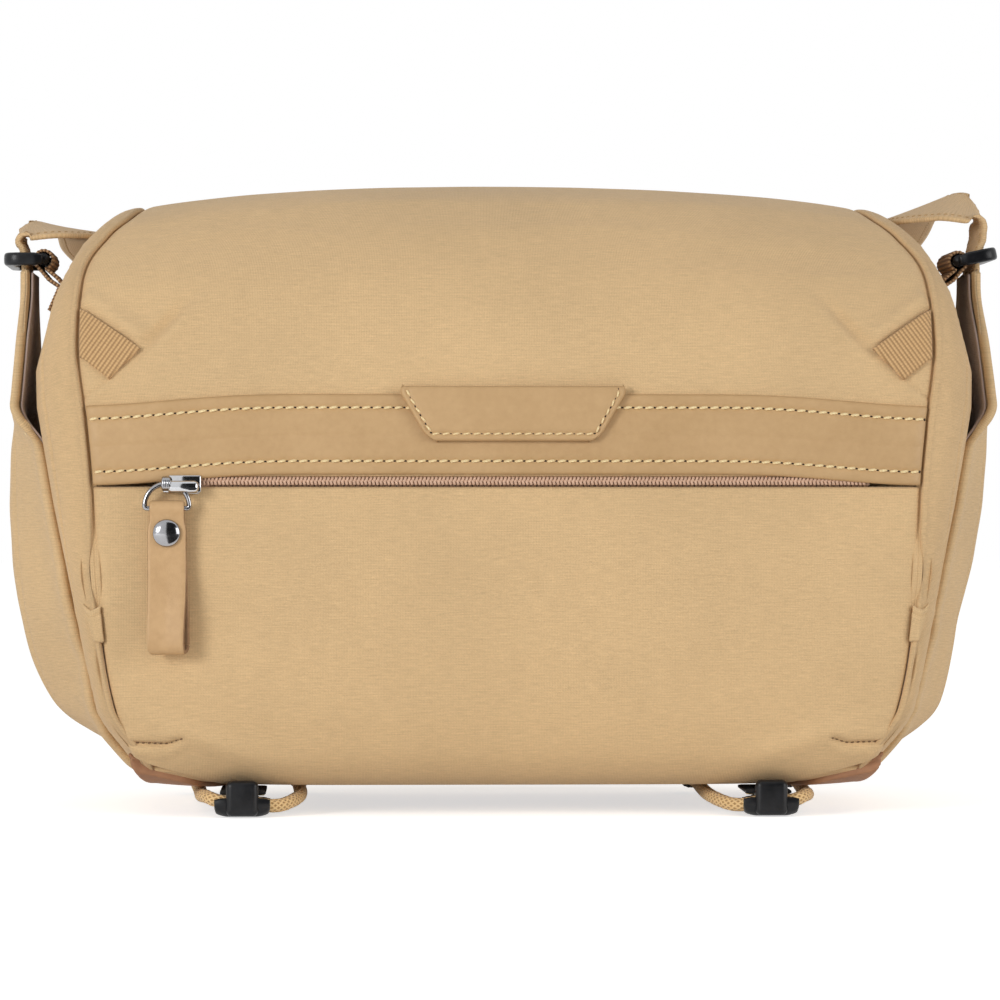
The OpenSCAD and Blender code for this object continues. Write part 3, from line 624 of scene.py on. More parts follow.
class Shader:
    """A hand for laying out one material's nodes."""

    def __init__(self, name: str, roughness: float, metallic: float = 0.0) -> None:
        """Starts a material.

        Args:
            name: The material's name.
            roughness: The shader's own roughness.
            metallic: The shader's own metal share.
        """
        self.material = bpy.data.materials.new(name)
        self.material.use_nodes = True
        self.tree = self.material.node_tree
        self.bsdf = self.tree.nodes["Principled BSDF"]
        self.bsdf.inputs["Roughness"].default_value = roughness
        self.bsdf.inputs["Metallic"].default_value = metallic

    def node(self, kind: str, **values: object) -> bpy.types.Node:
        """Adds a node and sets what it is given, properties first and then inputs.

        Args:
            kind: The node's type, without the ShaderNode in front.
            values: Properties of the node, or inputs by their names with _ for spaces.

        Returns:
            The node.
        """
        node = self.tree.nodes.new("ShaderNode" + kind)
        for key, value in values.items():
            if hasattr(node, key):
                setattr(node, key, value)
            else:
                node.inputs[key.replace("_", " ")].default_value = value
        return node

    def link(self, source: Socket, target: Socket) -> None:
        """Joins two sockets."""
        self.tree.links.new(source, target)

    def cloth(self, scale_u: float, scale_v: float, turn: float = 0.0) -> Socket:
        """The piece's own cloth places, scaled along and across.

        Args:
            scale_u: Scale across the cloth, in cells a metre.
            scale_v: Scale along the cloth, in cells a metre.
            turn: Turn of the pattern, in radians.

        Returns:
            The mapped vector.
        """
        places = self.node("UVMap", uv_map=UV_NAME)
        mapping = self.node("Mapping")
        mapping.inputs["Scale"].default_value = (scale_u, scale_v, 1.0)
        mapping.inputs["Rotation"].default_value = (0.0, 0.0, turn)
        self.link(places.outputs["UV"], mapping.inputs["Vector"])
        return mapping.outputs["Vector"]

    def solid(self, scale: float) -> Socket:
        """The piece's own space, scaled, in cells a metre."""
        places = self.node("TexCoord")
        mapping = self.node("Mapping")
        mapping.inputs["Scale"].default_value = (scale, scale, scale)
        self.link(places.outputs["Object"], mapping.inputs["Vector"])
        return mapping.outputs["Vector"]

    def noise(self, vector: Socket, detail: float = 3.0) -> Socket:
        """Noise over a vector, as one number."""
        node = self.node("TexNoise", Scale=1.0, Detail=detail, Roughness=0.6)
        self.link(vector, node.inputs["Vector"])
        return node.outputs["Fac"]

    def wave(self, vector: Socket, direction: str) -> Socket:
        """Straight ridges along one axis of a vector, one for each cell."""
        node = self.node(
            "TexWave", wave_type="BANDS", bands_direction=direction, wave_profile="SIN",
            Scale=math.pi / 10, Distortion=0.0,
        )
        self.link(vector, node.inputs["Vector"])
        return node.outputs["Fac"]

    def math(self, operation: str, a: object, b: object) -> Socket:
        """A sum, product or the like of two numbers or sockets."""
        node = self.node("Math", operation=operation)
        for k, value in enumerate((a, b)):
            if isinstance(value, Socket):
                self.link(value, node.inputs[k])
            else:
                node.inputs[k].default_value = value
        return node.outputs["Value"]

    def blend(self, a: Socket, weight_a: float, b: Socket, weight_b: float) -> Socket:
        """The weighted sum of two values."""
        return self.math("ADD", self.math("MULTIPLY", a, weight_a), self.math("MULTIPLY", b, weight_b))

    def ramp(self, value: Socket, stops: Sequence[tuple[float, Colour]]) -> Socket:
        """A colour for each value, from stops given as screen colours."""
        node = self.node("ValToRGB")
        ramp = node.color_ramp
        while len(ramp.elements) < len(stops):
            ramp.elements.new(0.5)
        for element, (place, colour) in zip(ramp.elements, stops):
            element.position = place
            element.color = linear(colour)
        self.link(value, node.inputs["Fac"])
        return node.outputs["Color"]

    def mix(
        self,
        factor: Socket | float,
        a: Socket,
        b: Socket | tuple[float, ...],
        blend: str = "MIX",
    ) -> Socket:
        """Two colours mixed by a factor."""
        node = self.node("Mix", data_type="RGBA", blend_type=blend)
        for socket, value in ((node.inputs[0], factor), (node.inputs[6], a), (node.inputs[7], b)):
            if isinstance(value, Socket):
                self.link(value, socket)
            else:
                socket.default_value = value
        return node.outputs[2]

    def colour(self, value: Socket) -> None:
        """Uses a socket as the base colour."""
        self.link(value, self.bsdf.inputs["Base Color"])

    def relief(self, height: Socket, distance: float) -> None:
        """Uses a socket as the surface's relief."""
        node = self.node("Bump", Distance=distance, Strength=1.0)
        self.link(height, node.inputs["Height"])
        self.link(node.outputs["Normal"], self.bsdf.inputs["Normal"])

    def range(self, value: Socket, low: float, high: float) -> Socket:
        """A value from 0 to 1 spread between two numbers."""
        node = self.node("MapRange")
        node.inputs["To Min"].default_value = low
        node.inputs["To Max"].default_value = high
        self.link(value, node.inputs["Value"])
        return node.outputs["Result"]

    def sheen(self, weight: float) -> None:
        """Sets the soft shine of short fibres."""
        self.bsdf.inputs["Sheen Weight"].default_value = weight
        self.bsdf.inputs["Sheen Roughness"].default_value = 0.5


@dataclass(frozen=True)
class Canvas:
    """Plain-woven cloth with uneven weft threads."""

    name: str
    colour: Colour
    pitch: float = 0.00052
    slub: float = 0.07
    relief: float = 0.0001
    fuzz: float = 0.12

    def material(self) -> Finish:
        """Builds the cloth."""
        s = Shader(self.name, 0.82)
        light = tuple(min(c * (1 + self.slub), 255.0) for c in self.colour)
        dark = tuple(c * (1 - self.slub) for c in self.colour)
        streaks = s.noise(s.cloth(170.0, 2500.0), detail=2.0)
        fleck = s.noise(s.solid(1900.0), detail=2.0)
        clouds = s.noise(s.solid(14.0), detail=2.0)
        across = s.wave(s.cloth(1 / self.pitch, 1 / self.pitch), "X")
        along = s.wave(s.cloth(1 / self.pitch, 1 / self.pitch), "Y")
        weave = s.math("MULTIPLY", across, along)
        tone = s.blend(streaks, 0.42, fleck, 0.30)
        tone = s.math("ADD", tone, s.math("MULTIPLY", clouds, 0.28))
        base = s.ramp(tone, [(0.34, dark), (0.50, self.colour), (0.66, light)])
        shade = s.ramp(weave, [(0.0, (232.0, 229.0, 224.0)), (0.6, (255.0, 255.0, 255.0))])
        s.colour(s.mix(0.6, base, shade, "MULTIPLY"))
        s.relief(s.math("ADD", s.math("MULTIPLY", streaks, 0.8), weave), self.relief)
        s.sheen(self.fuzz)
        return s.material


@dataclass(frozen=True)
class Leather:
    """Smooth leather with a fine grain and faint clouds of tone."""

    name: str
    colour: Colour
    second: Colour
    roughness: float = 0.52
    grain: float = 0.00045
    relief: float = 0.00006

    def material(self) -> Finish:
        """Builds the leather."""
        s = Shader(self.name, self.roughness)
        cells = s.node("TexVoronoi", feature="DISTANCE_TO_EDGE", Scale=1.0)
        s.link(s.solid(1 / self.grain), cells.inputs["Vector"])
        pores = s.noise(s.solid(2600.0), detail=2.0)
        clouds = s.noise(s.solid(38.0), detail=4.0)
        fleck = s.noise(s.solid(420.0), detail=3.0)
        tone = s.blend(clouds, 0.65, fleck, 0.35)
        s.colour(s.ramp(tone, [(0.32, self.second), (0.62, self.colour)]))
        s.link(s.range(fleck, self.roughness - 0.07, self.roughness + 0.09), s.bsdf.inputs["Roughness"])
        s.relief(s.math("ADD", cells.outputs["Distance"], s.math("MULTIPLY", pores, 0.5)), self.relief)
        s.bsdf.inputs["Specular IOR Level"].default_value = 0.4
        return s.material


@dataclass(frozen=True)
class Webbing:
    """Ribbed webbing; its ribs run across its length."""

    name: str
    colour: Colour
    shadow: Colour
    rib: float = 0.0014
    relief: float = 0.0003

    def material(self) -> Finish:
        """Builds the webbing."""
        s = Shader(self.name, 0.8)
        ribs = s.wave(s.cloth(0.0, 1 / self.rib), "Y")
        picks = s.wave(s.cloth(1 / 0.0009, 0.5 / self.rib), "X")
        fibre = s.noise(s.cloth(1500.0, 500.0), detail=3.0)
        height = s.math("MULTIPLY", ribs, s.range(picks, 0.55, 1.0))
        tone = s.blend(height, 0.72, fibre, 0.28)
        s.colour(s.ramp(tone, [(0.18, self.shadow), (0.62, self.colour)]))
        s.relief(height, self.relief)
        s.sheen(0.15)
        return s.material


@dataclass(frozen=True)
class Braid:
    """A round braided sheath."""

    name: str
    colour: Colour
    shadow: Colour
    pitch: float = 0.0019

    def material(self) -> Finish:
        """Builds the braid."""
        s = Shader(self.name, 0.7)
        one = s.wave(s.cloth(1 / self.pitch, 1 / self.pitch, math.radians(38)), "X")
        two = s.wave(s.cloth(1 / self.pitch, 1 / self.pitch, math.radians(-38)), "X")
        height = s.math("MAXIMUM", one, two)
        fibre = s.noise(s.solid(1800.0), detail=2.0)
        tone = s.blend(height, 0.75, fibre, 0.25)
        s.colour(s.ramp(tone, [(0.30, self.shadow), (0.78, self.colour)]))
        s.relief(height, 0.00035)
        s.sheen(0.2)
        return s.material


@dataclass(frozen=True)
class Metal:
    """Polished metal with faint wear."""

    name: str
    colour: Colour
    roughness: float = 0.12

    def material(self) -> Finish:
        """Builds the metal."""
        s = Shader(self.name, self.roughness, 1.0)
        wear = s.noise(s.solid(700.0), detail=3.0)
        light = tuple(min(c * 1.04, 255.0) for c in self.colour)
        s.colour(s.ramp(wear, [(0.35, self.colour), (0.7, light)]))
        s.link(s.range(wear, self.roughness * 0.7, self.roughness * 1.5), s.bsdf.inputs["Roughness"])
        s.relief(s.noise(s.solid(240.0), detail=1.0), 0.00002)
        return s.material


@dataclass(frozen=True)
class Moulded:
    """Moulded plastic with a fine spark-eroded grain."""

    name: str
    colour: Colour
    roughness: float = 0.42
    gloss: float = 0.5

    def material(self) -> Finish:
        """Builds the plastic."""
        s = Shader(self.name, self.roughness)
        s.bsdf.inputs["Specular IOR Level"].default_value = self.gloss
        grain = s.noise(s.solid(3200.0), detail=2.0)
        scuff = s.noise(s.solid(260.0), detail=4.0)
        light = tuple(c + 14.0 for c in self.colour)
        s.colour(s.ramp(scuff, [(0.40, self.colour), (0.80, light)]))
        s.link(s.range(scuff, self.roughness - 0.08, self.roughness + 0.12), s.bsdf.inputs["Roughness"])
        s.relief(grain, 0.00003)
        return s.material


@dataclass(frozen=True)
class Thread:
    """Twisted sewing thread."""

    name: str
    colour: Colour
    shadow: Colour

    def material(self) -> Finish:
        """Builds the thread."""
        s = Shader(self.name, 0.6)
        twist = s.wave(s.cloth(1 / 0.0006, 1 / 0.0006, math.radians(45)), "X")
        fibre = s.noise(s.solid(2500.0), detail=2.0)
        tone = s.blend(twist, 0.6, fibre, 0.4)
        s.colour(s.ramp(tone, [(0.15, self.shadow), (0.6, self.colour)]))
        s.relief(twist, 0.00006)
        return s.material


@dataclass(frozen=True)
class SpacerMesh:
    """Open mesh over foam, with rows of small holes."""

    name: str
    colour: Colour
    hole: Colour
    cell: float = 0.0036

    def material(self) -> Finish:
        """Builds the mesh."""
        s = Shader(self.name, 0.85)
        cells = s.node("TexVoronoi", feature="F1", Scale=1.0, Randomness=0.12)
        s.link(s.cloth(1 / self.cell, 1 / self.cell), cells.inputs["Vector"])
        fibre = s.noise(s.solid(1600.0), detail=3.0)
        tone = s.math("ADD", cells.outputs["Distance"], s.math("MULTIPLY", fibre, 0.12))
        s.colour(s.ramp(tone, [(0.20, self.hole), (0.36, self.colour)]))
        s.relief(s.math("MINIMUM", cells.outputs["Distance"], 0.42), 0.0009)
        s.sheen(0.1)
        return s.material


CANVAS = Canvas("tan_canvas", (221.0, 188.0, 141.0)).material()
CANVAS_SHADE = Canvas("tan_canvas_side", (219.0, 185.0, 138.0)).material()
STRAP_CLOTH = Canvas("strap_cloth", (212.0, 179.0, 134.0), pitch=0.0007).material()
LINING = Canvas("taupe_lining", (190.0, 171.0, 163.0), pitch=0.0006, slub=0.05, fuzz=0.2).material()
TAPE = Canvas("zip_tape", (182.0, 146.0, 122.0), pitch=0.0006, slub=0.06).material()
STRIP_LEATHER = Leather("strip_leather", (198.0, 163.0, 118.0), (186.0, 151.0, 106.0)).material()
PULL_LEATHER = Leather("puller_leather", (203.0, 166.0, 121.0), (184.0, 147.0, 102.0), 0.46).material()
SUEDE = Leather("cut_edge", (176.0, 140.0, 104.0), (132.0, 98.0, 70.0), 0.9, relief=0.0003).material()
BASE_LEATHER = Leather(
    "base_leather", (172.0, 126.0, 92.0), (148.0, 104.0, 74.0), 0.6, relief=0.00012
).material()
TAB_WEBBING = Webbing("tab_webbing", (214.0, 175.0, 124.0), (164.0, 127.0, 84.0), 0.0013, 0.0002).material()
BROWN_WEBBING = Webbing("brown_webbing", (190.0, 150.0, 108.0), (118.0, 84.0, 54.0), rib=0.0012).material()
DARK_WEBBING = Webbing("dark_webbing", (46.0, 38.0, 36.0), (20.0, 18.0, 18.0), rib=0.0012).material()
BRAID = Braid("bungee_braid", (248.0, 212.0, 154.0), (186.0, 142.0, 88.0), pitch=0.0013).material()
STEEL = Metal("polished_steel", (196.0, 197.0, 200.0), roughness=0.06).material()
GUNMETAL = Metal("dark_chrome", (158.0, 158.0, 161.0), roughness=0.13).material()
BLACK = Moulded("black_plastic", (17.0, 18.0, 21.0), roughness=0.30, gloss=0.28).material()
THREAD = Thread("pale_thread", (255.0, 236.0, 186.0), (236.0, 202.0, 146.0)).material()
STRAP_THREAD = Thread("strap_thread", (196.0, 160.0, 112.0), (160.0, 124.0, 80.0)).material()
DARK_THREAD = Thread("dark_thread", (120.0, 88.0, 58.0), (86.0, 60.0, 38.0)).material()
# Dark discs of painted shade where the needle holes are; no hole is cut.
NEEDLE_HOLE_SHADE = Moulded("needle_hole_painted_shade", (44.0, 28.0, 16.0), roughness=0.9).material()
COIL = Moulded("coil_nylon", (204.0, 168.0, 142.0), roughness=0.55).material()
TAN_COIL = Moulded("tan_coil", (214.0, 180.0, 136.0), roughness=0.5).material()
PAD_MESH = SpacerMesh("spacer_mesh", (128.0, 108.0, 96.0), (60.0, 48.0, 42.0)).material()
PADDED = [CANVAS_SHADE, LINING]


# ---------------------------------------------------------------------------
# Placing and sewing
# ---------------------------------------------------------------------------


def dress(
    piece: Piece,
    body: str,
    slot_name: str,
    *nodes: str,
) -> Piece:
    """Rides a piece on a body and hides the CAD nodes that it replaces.

    Args:
        piece: The piece.
        body: The CAD body that it rides on.
        slot_name: Not used.
        nodes: The CAD nodes that it replaces.

    Returns:
        The same piece.
    """
    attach(piece, body)
    if nodes:
        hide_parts(*nodes)
    LOG.info("%s rides on %s, %d faces", piece.name, body, len(piece.data.polygons))
    return piece


def sheets(
    name: str,
    finishes: Sequence[Finish],
    role: Sequence[str],
    *layers: tuple,
    inward: Array | None = None,
) -> Piece:
    """Makes a piece of sheets that lie one under the other, and dresses it.

    Args:
        name: The piece's name.
        finishes: The sheets' materials, from the outermost one.
        role: The body, the slot and the CAD nodes, as dress() takes them.
        layers: Each sheet's outer face, its thickness and, where given, its places on the cloth.
        inward: Unit vectors into the sheets; the opposite of the normals where not given.

    Returns:
        The piece.
    """
    parts = MeshParts()
    for slot, layer in enumerate(layers):
        shell(parts, *layer, slot=slot, inward=inward)
    return dress(parts.build(name, finishes), *role)


@dataclass(frozen=True)
class Seam:
    """A row of stitches of one size."""

    pitch: float = 0.0035
    length: float = 0.0026
    radius: float = 0.00050
    slant: float = 0.00022
    # holes: whether each stitch gets a dark disc of painted shade at its needle hole.
    holes: bool = True
    sides: int = 6
    rings: int = 6

    def sew(self, parts: MeshParts, path: Array, up: Array) -> None:
        """Adds the stitches along a line, in slot 0, and a dark disc of painted shade at each needle hole, in
        slot 1.

        Args:
            parts: The mesh that grows.
            path: The line, on the surface.
            up: The surface's outward direction at each point of the line.
        """
        along = arc(path)
        count = max(int(along[-1] / self.pitch), 1)
        pitch = along[-1] / count
        f = np.linspace(0, 1, self.rings)
        for k in range(count):
            place = (k + 0.12) * pitch + f * self.length * pitch / self.pitch
            centre = between(place, along, path)
            face = unit(between(place, along, up))
            run = unit(centre[-1] - centre[0])
            side = unit(np.cross(face, run))
            arch = np.sin(np.pi * f)
            centre = (
                centre
                + face * (self.radius * (1.5 * arch - 0.45))[:, None]
                + side * (self.slant * (2 * f - 1))[:, None]
            )
            girth = self.radius * (0.55 + 0.45 * np.sqrt(arch + 1e-9))
            tube(parts, centre, girth, self.sides, up=face)
            if self.holes:
                spot = (k + 0.12) * pitch + (self.length + pitch) / 2
                self.paint_hole_shade(parts, between(spot, along, path), face[-1], run)

    def rows(
        self, name: str, thread: Finish, role: Sequence[str], *lines: tuple[Array, Array]
    ) -> Piece:
        """Makes a piece of rows of stitches, and dresses it.

        Args:
            name: The piece's name.
            thread: The thread's finish.
            role: The body and the slot, as dress() takes them.
            lines: Each row's line and its outward directions.

        Returns:
            The piece.
        """
        parts = MeshParts()
        for path, up in lines:
            self.sew(parts, path, up)
        return dress(parts.build(name, [thread, NEEDLE_HOLE_SHADE]), *role)

    def paint_hole_shade(self, parts: MeshParts, middle: Array, face: Array, run: Array) -> None:
        """Adds the painted shade of one needle hole: a small dark disc laid on the surface.

        Args:
            parts: The mesh that grows.
            middle: The hole's middle, on the surface.
            face: The surface's outward direction.
            run: The direction of the stitches.
        """
        side = np.cross(face, run)
        angle = np.arange(8) * math.pi / 4
        ring = (
            middle
            + run * (np.cos(angle) * self.radius * 1.25)[:, None]
            + side * (np.sin(angle) * self.radius * 1.15)[:, None]
            - face * 0.00002
        )
        top = middle + face * 0.00016
        low = middle - face * 0.0002
        points = np.concatenate([ring, [top], [low]])
        faces = [(j, (j + 1) % 8, 8) for j in range(8)] + [((j + 1) % 8, j, 9) for j in range(8)]
        parts.add(points, np.zeros((10, 2)), faces, slot=1)


def skin_line(x: Array, t: Array, out: Array | float) -> tuple[Array, Array]:
    """A line over the pack's skin and the skin's outward direction along it.

    Args:
        x: Places across.
        t: Stations.
        out: Height over the skin.

    Returns:
        The points and the outward directions.
    """
    path = LINES.skin(x, t, out)
    above = LINES.skin(x, t, np.asarray(out) + 0.001)
    return path, unit(above - path)


EDGE_OVERLAP = 0.00143
OPEN_ZIP_Z = 0.0795
CLOSED_Z = 0.050


def closing(t: Array) -> Array:
    """How much further the cloth edges meet below the ends of the main zip."""
    z = LINES.at(t)[..., 1]
    turn = np.asarray(t) % LINES.count
    return 0.00013 * (1 - smooth((z - CLOSED_Z) / 0.012)) * ((turn < 6) | (turn > 21))


def lid_half(t: Array) -> Array:
    """Half width of the lid's cloth, which hides a part of the main zip's groove."""
    run = np.linalg.norm(LINES.at(LINES.zip_end)[:2] - LINES.at(LINES.zip_end - 0.1)[:2]) * 10
    more = EDGE_OVERLAP / run
    start = LINES.zip_end - LINES.corner_run
    u = np.clip((t - start) / (LINES.corner_run + more), 0, 1)
    corner = (LINES.zip_corner + EDGE_OVERLAP) * np.sqrt(1 - u * u) - LINES.zip_corner
    return LINES.at(t)[..., 2] + np.where(t > start, corner, EDGE_OVERLAP) + closing(t)


def lid_stations(start: float, step: float) -> Array:
    """Stations from start to the lid's rear edge, closer together round its corners."""
    run = np.linalg.norm(LINES.at(LINES.zip_end)[:2] - LINES.at(LINES.zip_end - 0.1)[:2]) * 10
    end = LINES.zip_end + EDGE_OVERLAP / run
    corner = LINES.zip_end - LINES.corner_run
    before = np.linspace(start, corner, int((corner - start) / step) + 1)
    turn = np.linspace(0, math.pi / 2, 22)[1:]
    return np.concatenate([before, corner + (end - corner) * np.sin(turn)])


def edge_roll(distance: Array, radius: float, depth: float) -> Array:
    """How far a cloth edge rolls in at a distance from it: a quarter round."""
    f = np.clip(1 - distance / radius, 0, 1)
    return depth * (1 - np.sqrt(np.maximum(1 - f * f, 0)))


def columns(count: int, crowd: float = 0.6) -> Array:
    """Places from -1 to 1, crowded towards both ends."""
    f = np.linspace(-1, 1, count)
    return (1 - crowd) * f + crowd * np.sin(f * math.pi / 2)


# ---------------------------------------------------------------------------
# Lid and front pocket
# ---------------------------------------------------------------------------


@dataclass
class FrontPocket:
    """The pocket panel on the lid's lower half; its cloth runs on down to the base seam."""

    zip_height: float = 0.1096
    slit: float = 0.0036
    zip_left: float = 0.113
    zip_right: float = 0.118
    cloth: float = 0.0012
    fullness: float = 0.0022
    dart_low: float = 0.0236
    dart_rise: float = 0.0026
    dart_bend: float = 0.112
    rows: int = 190
    cols: int = 220
    foot_rows: tuple[tuple[float, float], ...] = (
        (0.0, -2.3), (0.086, -2.3), (0.097, -1.10), (0.102, -0.62), (0.107, -0.40), (0.113, -0.20),
        (0.118, -0.03), (0.122, 0.16),
    )

    @property
    def low_lip(self) -> float:
        """The station of the zip opening's lower edge."""
        return LINES.station(self.zip_height - self.slit / 2)

    @property
    def high_lip(self) -> float:
        """The station of the zip opening's upper edge."""
        return LINES.station(self.zip_height + self.slit / 2)

    def foot(self, x: Array) -> Array:
        """The station of the panel's foot: it ends higher towards the corners."""
        return lookup(self.foot_rows, np.abs(x), 0.002)

    def lift(self, x: Array, t: Array) -> Array:
        """How far the filled pocket's cloth stands off the skin, with its soft folds."""
        z = LINES.skin(0.0, t, 0.0)[..., 2]
        half = lid_half(t)
        side = half - np.abs(x)
        top = np.maximum(self.zip_height - self.slit / 2 - z, 0)
        full = smooth(side / 0.045) * smooth(top / 0.030) * smooth((z - 0.010) / 0.05)
        lift = self.fullness * full
        lift = lift - edge_roll(side, 0.0042, 0.0024) - edge_roll(top, 0.0012, 0.0010)
        lift = lift + 0.00030 * noise(x / 0.030, z / 0.020, 3) * full
        near = smooth(side / 0.004) * (1 - smooth(side / 0.035))
        lift = lift + 0.00042 * near * noise(x / 0.030 + 3, z / 0.007, 5, 2)
        for hand in (-1, 1):
            sag = x * hand
            ridge = z - (0.031 + 0.30 * (sag - 0.118))
            lift = lift + 0.0016 * bump(ridge, 0.0, 0.0042) * bump(sag, 0.100, 0.020)
            dart = z - self.dart_height(sag)
            long = smooth((sag - 0.104) / 0.004) * smooth(side / 0.002)
            lift = lift - 0.0013 * bump(dart, 0.0, 0.0008) * long
            lift = lift + 0.0006 * bump(np.abs(dart), 0.0030, 0.0022) * long
        return lift

    def dart_height(self, across: Array) -> Array:
        """Height of the dart seam by the panel's lower corner."""
        return self.dart_low + self.dart_rise * smooth((self.dart_bend - across) / 0.008)

    def dart_stitches(self, side: Side) -> None:
        """The sunken stitches of one dart."""
        x = np.linspace(0.1055, 0.1215, 60)
        z = self.dart_height(x)
        t = LINES.front_at(z)
        line = skin_line(x * side.value, t, self.lift(x * side.value, t))
        seam = Seam(0.0018, 0.0011, 0.00026, 0.0001)
        seam.rows(f"dart_stitches_{side.word}", DARK_THREAD, ("root", "tan_fabric"), line)

    def panel(self) -> None:
        """The canvas panel, in one piece from the zip down under the foot."""
        f = columns(self.cols)
        g = np.linspace(0, 1, self.rows)
        x0 = f * lid_half(np.array(0.0))
        start = self.foot(x0)
        t = start[None, :] + (self.low_lip - start)[None, :] * g[:, None]
        x = f[None, :] * lid_half(t)
        grid = LINES.skin(x, t, self.lift(x, t))
        stations = np.linspace(-3, self.low_lip, 200)
        places = np.stack([x, np.interp(t, stations, arc(LINES.skin(0.0, stations, 0.0)))], axis=-1)
        parts = MeshParts()
        shell(parts, grid, self.cloth, places)
        piece = parts.build("front_panel", [CANVAS])
        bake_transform(piece)
        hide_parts("front_pocket_panel", "front_lower_panel")
        LOG.info("%s bends at the lid's fold", piece.name)

    def foot_padding(self) -> None:
        """The padding behind the panel's foot, below the lid's fold."""
        hinge = LINES.station(HINGE_Z) - 0.03
        t = np.linspace(-0.15, hinge, 40)[:, None]
        x = columns(60)[None, :] * (LINES.panel_half(t) - 0.002)
        sheets("front_foot_padding", [LINING], ("root", "taupe_lining"), (LINES.skin(x, t, -0.0046), 0.0020))

    def build(self) -> None:
        """Builds the pocket's cloth."""
        self.panel()
        self.foot_padding()
        for side in Side:
            self.dart_stitches(side)


@dataclass
class FrontZip:
    """The front pocket's zip: tapes, coil and the dotted line of thread along its lower edge."""

    pocket: FrontPocket
    tooth: float = 0.00125

    def build(self) -> None:
        """Builds the tape and the coil."""
        pocket = self.pocket
        left, right = -pocket.zip_left, pocket.zip_right
        x = np.linspace(left, right, 240)
        t_low, t_high = pocket.low_lip, pocket.high_lip
        f = np.linspace(0, 1, 9)
        grid_t = np.broadcast_to((t_low + (t_high - t_low) * f)[:, None], (9, 240))
        grid_x = np.broadcast_to(x[None, :], (9, 240))
        crown = -0.0008 + 0.0004 * np.sin(math.pi * f)[:, None]
        parts = MeshParts()
        shell(parts, LINES.skin(grid_x, grid_t, crown), 0.0005)
        count = int((right - left) / self.tooth)
        middle = (t_low + t_high) / 2
        reach = (t_high - t_low) * 0.34
        for k in range(count):
            centre = left + (k + 0.5) * self.tooth
            for hand in (-1, 1):
                s = np.linspace(0, 1, 6)
                tx = centre + self.tooth * (0.30 * hand * 0.5 + 0.32 * (s - 0.5))
                tt = middle + hand * reach * (1.05 * s - 0.12)
                path = LINES.skin(tx, tt, -0.0002 + 0.00030 * np.sin(math.pi * s))
                tube(parts, path, 0.00050, 6, 1)
        piece = parts.build("front_zip_coil_dressed", [TAPE, COIL])
        dress(piece, "lid", "zip_coil", "front_zip_coil")
        line = skin_line(np.linspace(left + 0.016, right, 200), np.full(200, t_low + 0.008), -0.0004)
        Seam(0.0019, 0.0012, 0.00022, 0.0).rows("front_zip_thread", DARK_THREAD, ("lid", "zip_coil"), line)


